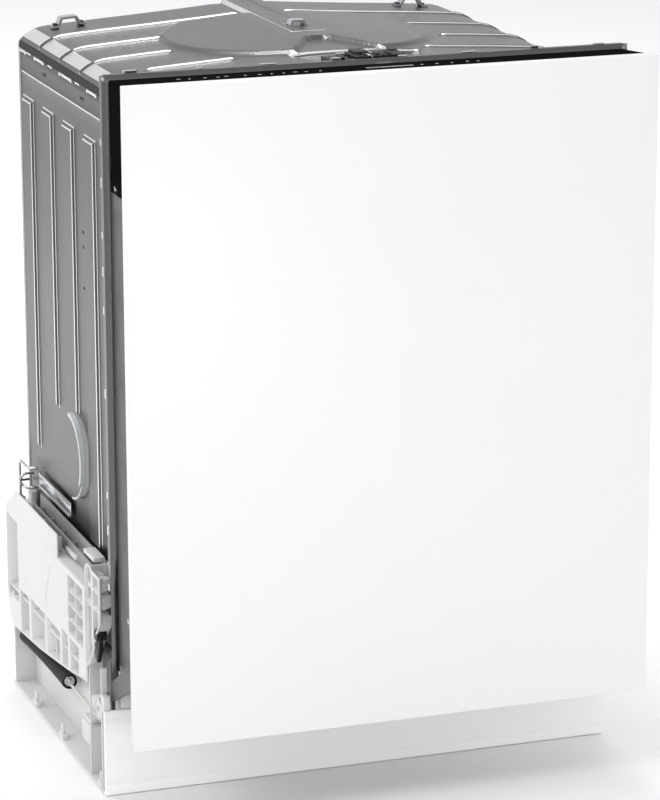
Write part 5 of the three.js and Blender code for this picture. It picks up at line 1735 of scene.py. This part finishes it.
def make_cutlery_tray():
    """Flat tray with rows of combs."""
    x, y, z = node_box("cutlery_tray")
    half, (y0, y1) = x[1] - 3, (y[0] + 3, y[1] - 3)
    top, low = z[1] - 2.6, z[0] + 2.4
    rim = rim_path(half, y0, y1, top)
    wires("cutlery_tray_rim", [rim, [(u, v, low + 3) for u, v, _ in rim]], 2.1, "cutlery_tray", "rack_wire",
          bend=20, sides=10, stands_for=["cutlery_tray"])
    paths = [[(u, y0, top), (u, y0, low), (u, y1, low), (u, y1, top)]
             for u in spaced(-half + 12, 2 * half - 24, 21)]
    paths += [[(-half, v, top), (-half, v, low + 2.4), (half, v, low + 2.4), (half, v, top)] for v in
              spaced(y0 + 12, y1 - y0 - 24, 17)]
    wires("cutlery_tray_grid", paths, 1.1, "cutlery_tray", "rack_wire", bend=5)
    comb = bmesh.new()
    prism(comb, [(-1.1, 0), (1.1, 0), (0.7, 15), (0, 18), (-0.7, 15)], "y", -1, 1, 0.2)
    combs = (-196, -132, 132, 196)
    spots = [(u, y0 + 26 + 12.2 * k, low + 3) for u in combs for k in range(31)]
    repeats("cutlery_tray_combs", comb, spots, "cutlery_tray", "grey_plastic")
    bm = bmesh.new()
    for u in combs:
        slab(bm, (u - 2, u + 2), (y0 + 20, y1 - 20), (low + 1, low + 5), 0.8)
    add_grip(bm, z[0] + 14, z[1] - 0.4, y[0] + 0.4, y[0] + 8)
    for _, s in SIDES:
        slab(bm, mirrored(s, half + 2.2, x[1] - 0.1), (y0 + 8, y1 - 8), (z[0] + 12, z[0] + 24), 0.4)
    piece("cutlery_tray_fittings", bm, "cutlery_tray", "grey_plastic")


# ---------------- camera, floor and light
def make_camera():
    """Camera in front of the machine's left corner."""
    camera_data = bpy.data.cameras.new("view_camera")
    camera = new_object("view_camera", camera_data)
    camera_data.lens = 163.35
    camera_data.sensor_width = 36
    camera_data.clip_end = 50
    turn, pitch, roll = (math.radians(a) for a in (19.24, 15.05, -0.14))
    forward = Vector((math.sin(turn) * math.cos(pitch), math.cos(turn) * math.cos(pitch), -math.sin(pitch)))
    right = Vector((math.cos(turn), -math.sin(turn), 0))
    up = right.cross(forward)
    right, up = right * math.cos(roll) + up * math.sin(roll), up * math.cos(roll) - right * math.sin(roll)
    placed = Matrix((right, up, -forward)).transposed().to_4x4()
    placed.translation = Vector((-1.30495, -3.7946, 1.4678))
    camera.matrix_world = placed
    bpy.context.scene.camera = camera


# name, place, aim (in metres), size in metres, power in watts
LAMPS = (
    ("front_softbox", (-0.5, -3.4, 2.3), (0, 0, 0.45), 2.2, 14),
    ("low_softbox", (-0.2, -2.9, 0.3), (0, 0, 0.1), 0.8, 15),
    ("left_softbox", (-2.6, -0.9, 2.5), (0, 0, 0.5), 0.9, 26),
    ("rear_left_softbox", (-2.2, 1.9, 2.0), (0, 0, 0.7), 0.8, 24),
    ("top_softbox", (0.3, 0.9, 3.4), (0, 0, 0.6), 1.6, 26),
    ("right_softbox", (3.0, -0.8, 2.0), (0, 0, 0.4), 1.4, 15),
    ("backdrop_wash", (0.0, 2.4, 4.4), (0.5, 6.0, 0.0), 2.4, 105),
)


def make_studio():
    """Floor that curves up into a backdrop, pale air and soft lamps; lengths in metres."""
    mesh = bpy.data.meshes.new("studio_floor")
    reach, rise, radius, back = 14.0, 9.0, 2.0, 10.0
    level = -0.0005  # just under the machine
    rows = [(-reach, level)]
    rows += [(back + radius * math.sin(a), level + radius * (1 - math.cos(a)))
             for a in [math.pi / 2 * k / 16 for k in range(17)]]
    rows += [(back + radius, rise)]
    points = [(u, v, h) for v, h in rows for u in (-reach, reach)]
    faces = [(2 * i, 2 * i + 1, 2 * i + 3, 2 * i + 2) for i in range(len(rows) - 1)]
    mesh.from_pydata(points, [], faces)
    mesh.polygons.foreach_set("use_smooth", [True] * len(mesh.polygons))
    mesh.materials.append(material("stage_floor"))
    floor = new_object("studio_floor", mesh)
    world = bpy.data.worlds.new("studio_air")
    bpy.context.scene.world = world
    world.use_nodes = True
    preset(world.node_tree.nodes["Background"], {"Color": (0.97, 0.98, 1.0, 1), "Strength": 0.72})
    bpy.context.scene.view_settings.view_transform = "Standard"
    for name, spot, aim, size, power in LAMPS:
        data = bpy.data.lights.new(name, "AREA")
        data.energy = power
        data.shape = "SQUARE"
        data.size = size
        lamp = new_object(name, data)
        lamp.location = spot
        lamp.visible_camera = False
        lamp.rotation_euler = (Vector(spot) - Vector(aim)).to_track_quat("Z", "Y").to_euler()


# ---------------- sizes, colours and tools in the sidebar
def length_setting(name, description, default, lowest=0.0):
    """Length in metres that can be set in the sidebar."""
    return bpy.props.FloatProperty(name=name, description=description, default=default, min=lowest,
                                   unit="LENGTH")


def colour_setting(name, description, finish):
    """Colour of a finish that can be set in the sidebar."""
    return bpy.props.FloatVectorProperty(
        name=name, description=description, subtype="COLOR", size=3, min=0, max=1,
        default=FINISHES[finish][0])


class DishwasherSizes(bpy.types.PropertyGroup):
    """Sizes of the finished pieces that can be changed by themselves."""

    bead_rise: length_setting("Bead rise", "Height of the beads across the roof", 2.6 * MM)
    boss_rise: length_setting("Boss rise", "Height of the round boss on the roof", 3.6 * MM)
    pad_rise: length_setting("Pad rise", "Height of the upright pads on the tub's sides", 3.0 * MM)
    rim_wire: length_setting("Rim wire", "Radius of the baskets' rim wires", 2.6 * MM, 0.001)
    basket_wire: length_setting("Basket wire", "Radius of the baskets' floor and side wires", 1.5 * MM,
                                0.0005)
    wire_sides: bpy.props.IntProperty(
        name="Wire sides", description="Number of flats around a thin wire", default=6, min=4, max=16)
    panel_edge: length_setting("Panel edge", "Radius of the furniture panel's edges", 1.2 * MM)


class DishwasherColours(bpy.types.PropertyGroup):
    """Colours of the finishes that can be changed by themselves."""

    white_board: colour_setting("Panel", "Lacquered furniture panel and plinth", "white_board")
    white_plastic: colour_setting("Base", "Moulded base and caps", "white_plastic")
    black_plastic: colour_setting("Control strip", "Control strip, keys and latch", "black_plastic")
    tub_steel: colour_setting("Tub outside", "Outside of the steel tub", "tub_steel")
    rack_wire: colour_setting("Baskets", "Coated wire of the baskets", "rack_wire")


class DISHWASHER_OT_camera(bpy.types.Operator):
    """Places the camera in front of the machine's left corner"""

    bl_idname = "dishwasher.camera"
    bl_label = "Camera"

    def execute(self, context):
        make_camera()
        return {"FINISHED"}


class DISHWASHER_OT_door_panel(bpy.types.Operator):
    """Makes the furniture panel on the door"""

    bl_idname = "dishwasher.door_panel"
    bl_label = "Furniture panel"

    def execute(self, context):
        make_door_panel()
        return {"FINISHED"}


class DISHWASHER_OT_console(bpy.types.Operator):
    """Makes the control strip with its keys, marks and display"""

    bl_idname = "dishwasher.console"
    bl_label = "Control strip"

    def execute(self, context):
        make_console()
        return {"FINISHED"}


class DISHWASHER_OT_door(bpy.types.Operator):
    """Makes the door's outer shell, inner sheet and dispenser"""

    bl_idname = "dishwasher.door"
    bl_label = "Door"

    def execute(self, context):
        make_door_shell()
        make_door_liner()
        make_dispenser()
        return {"FINISHED"}


class DISHWASHER_OT_tub(bpy.types.Operator):
    """Makes the tub's roof, walls, floor and front flange"""

    bl_idname = "dishwasher.tub"
    bl_label = "Tub"

    def execute(self, context):
        make_roof()
        make_bridge()
        for name, side in SIDES:
            make_tub_side(name, side)
        make_tub_back()
        make_tub_floor()
        make_front_frame()
        make_gasket()
        return {"FINISHED"}


class DISHWASHER_OT_latch(bpy.types.Operator):
    """Makes the door latch in the roof"""

    bl_idname = "dishwasher.latch"
    bl_label = "Latch"

    def execute(self, context):
        make_latch()
        return {"FINISHED"}


class DISHWASHER_OT_base(bpy.types.Operator):
    """Makes the moulded base, its cover, the plinth and the feet"""

    bl_idname = "dishwasher.base"
    bl_label = "Base"

    def execute(self, context):
        for name, side in SIDES:
            make_base_side(name, side)
        make_cover()
        make_plinth()
        make_base_inside()
        make_feet()
        return {"FINISHED"}


class DISHWASHER_OT_hinges(bpy.types.Operator):
    """Makes the door hinges, balance cords, pulleys and spring tubes"""

    bl_idname = "dishwasher.hinges"
    bl_label = "Hinges"

    def execute(self, context):
        make_hinges()
        return {"FINISHED"}


class DISHWASHER_OT_water_side(bpy.types.Operator):
    """Makes the water ring, rails and brackets beside the tub"""

    bl_idname = "dishwasher.water_side"
    bl_label = "Water ring and brackets"

    def execute(self, context):
        make_water_side()
        return {"FINISHED"}


class DISHWASHER_OT_water_inside(bpy.types.Operator):
    """Makes the riser, spray arms, filter and salt cap"""

    bl_idname = "dishwasher.water_inside"
    bl_label = "Spray system"

    def execute(self, context):
        make_water_inside()
        return {"FINISHED"}


class DISHWASHER_OT_racks(bpy.types.Operator):
    """Makes the two baskets and the cutlery tray"""

    bl_idname = "dishwasher.racks"
    bl_label = "Baskets"

    def execute(self, context):
        make_lower_rack()
        make_upper_rack()
        make_cutlery_tray()
        return {"FINISHED"}


class DISHWASHER_OT_stage(bpy.types.Operator):
    """Makes the pale floor, backdrop and soft studio light"""

    bl_idname = "dishwasher.stage"
    bl_label = "Stage"

    def execute(self, context):
        make_studio()
        return {"FINISHED"}


TOOLS = (DISHWASHER_OT_camera, DISHWASHER_OT_door_panel, DISHWASHER_OT_console, DISHWASHER_OT_door,
         DISHWASHER_OT_tub, DISHWASHER_OT_latch, DISHWASHER_OT_base, DISHWASHER_OT_hinges,
         DISHWASHER_OT_water_side, DISHWASHER_OT_water_inside, DISHWASHER_OT_racks, DISHWASHER_OT_stage)


class DISHWASHER_PT_tools(bpy.types.Panel):
    """Sizes, colours and tools of the dishwasher"""

    bl_idname = "DISHWASHER_PT_tools"
    bl_label = "Dishwasher"
    bl_space_type = "VIEW_3D"
    bl_region_type = "UI"
    bl_category = "Dishwasher"

    def draw(self, context):
        for group in (context.scene.dishwasher_sizes, context.scene.dishwasher_colours):
            box = self.layout.box()
            for name in group.__annotations__:
                box.prop(group, name)
        for tool in TOOLS:
            self.layout.operator(tool.bl_idname)


CLASSES = (DishwasherSizes, DishwasherColours, *TOOLS, DISHWASHER_PT_tools)


def register():
    for made in CLASSES:
        bpy.utils.register_class(made)
    bpy.types.Scene.dishwasher_sizes = bpy.props.PointerProperty(type=DishwasherSizes)
    bpy.types.Scene.dishwasher_colours = bpy.props.PointerProperty(type=DishwasherColours)


def unregister():
    del bpy.types.Scene.dishwasher_colours
    del bpy.types.Scene.dishwasher_sizes
    for made in reversed(CLASSES):
        bpy.utils.unregister_class(made)


def main():
    """Builds every piece in order."""
    register()
    tools = bpy.ops.dishwasher
    for tool in (tools.camera, tools.door_panel, tools.console, tools.door, tools.tub, tools.latch,
                 tools.base, tools.hinges, tools.water_side, tools.water_inside, tools.racks, tools.stage):
        tool()


if __name__ == "__main__":
    main()
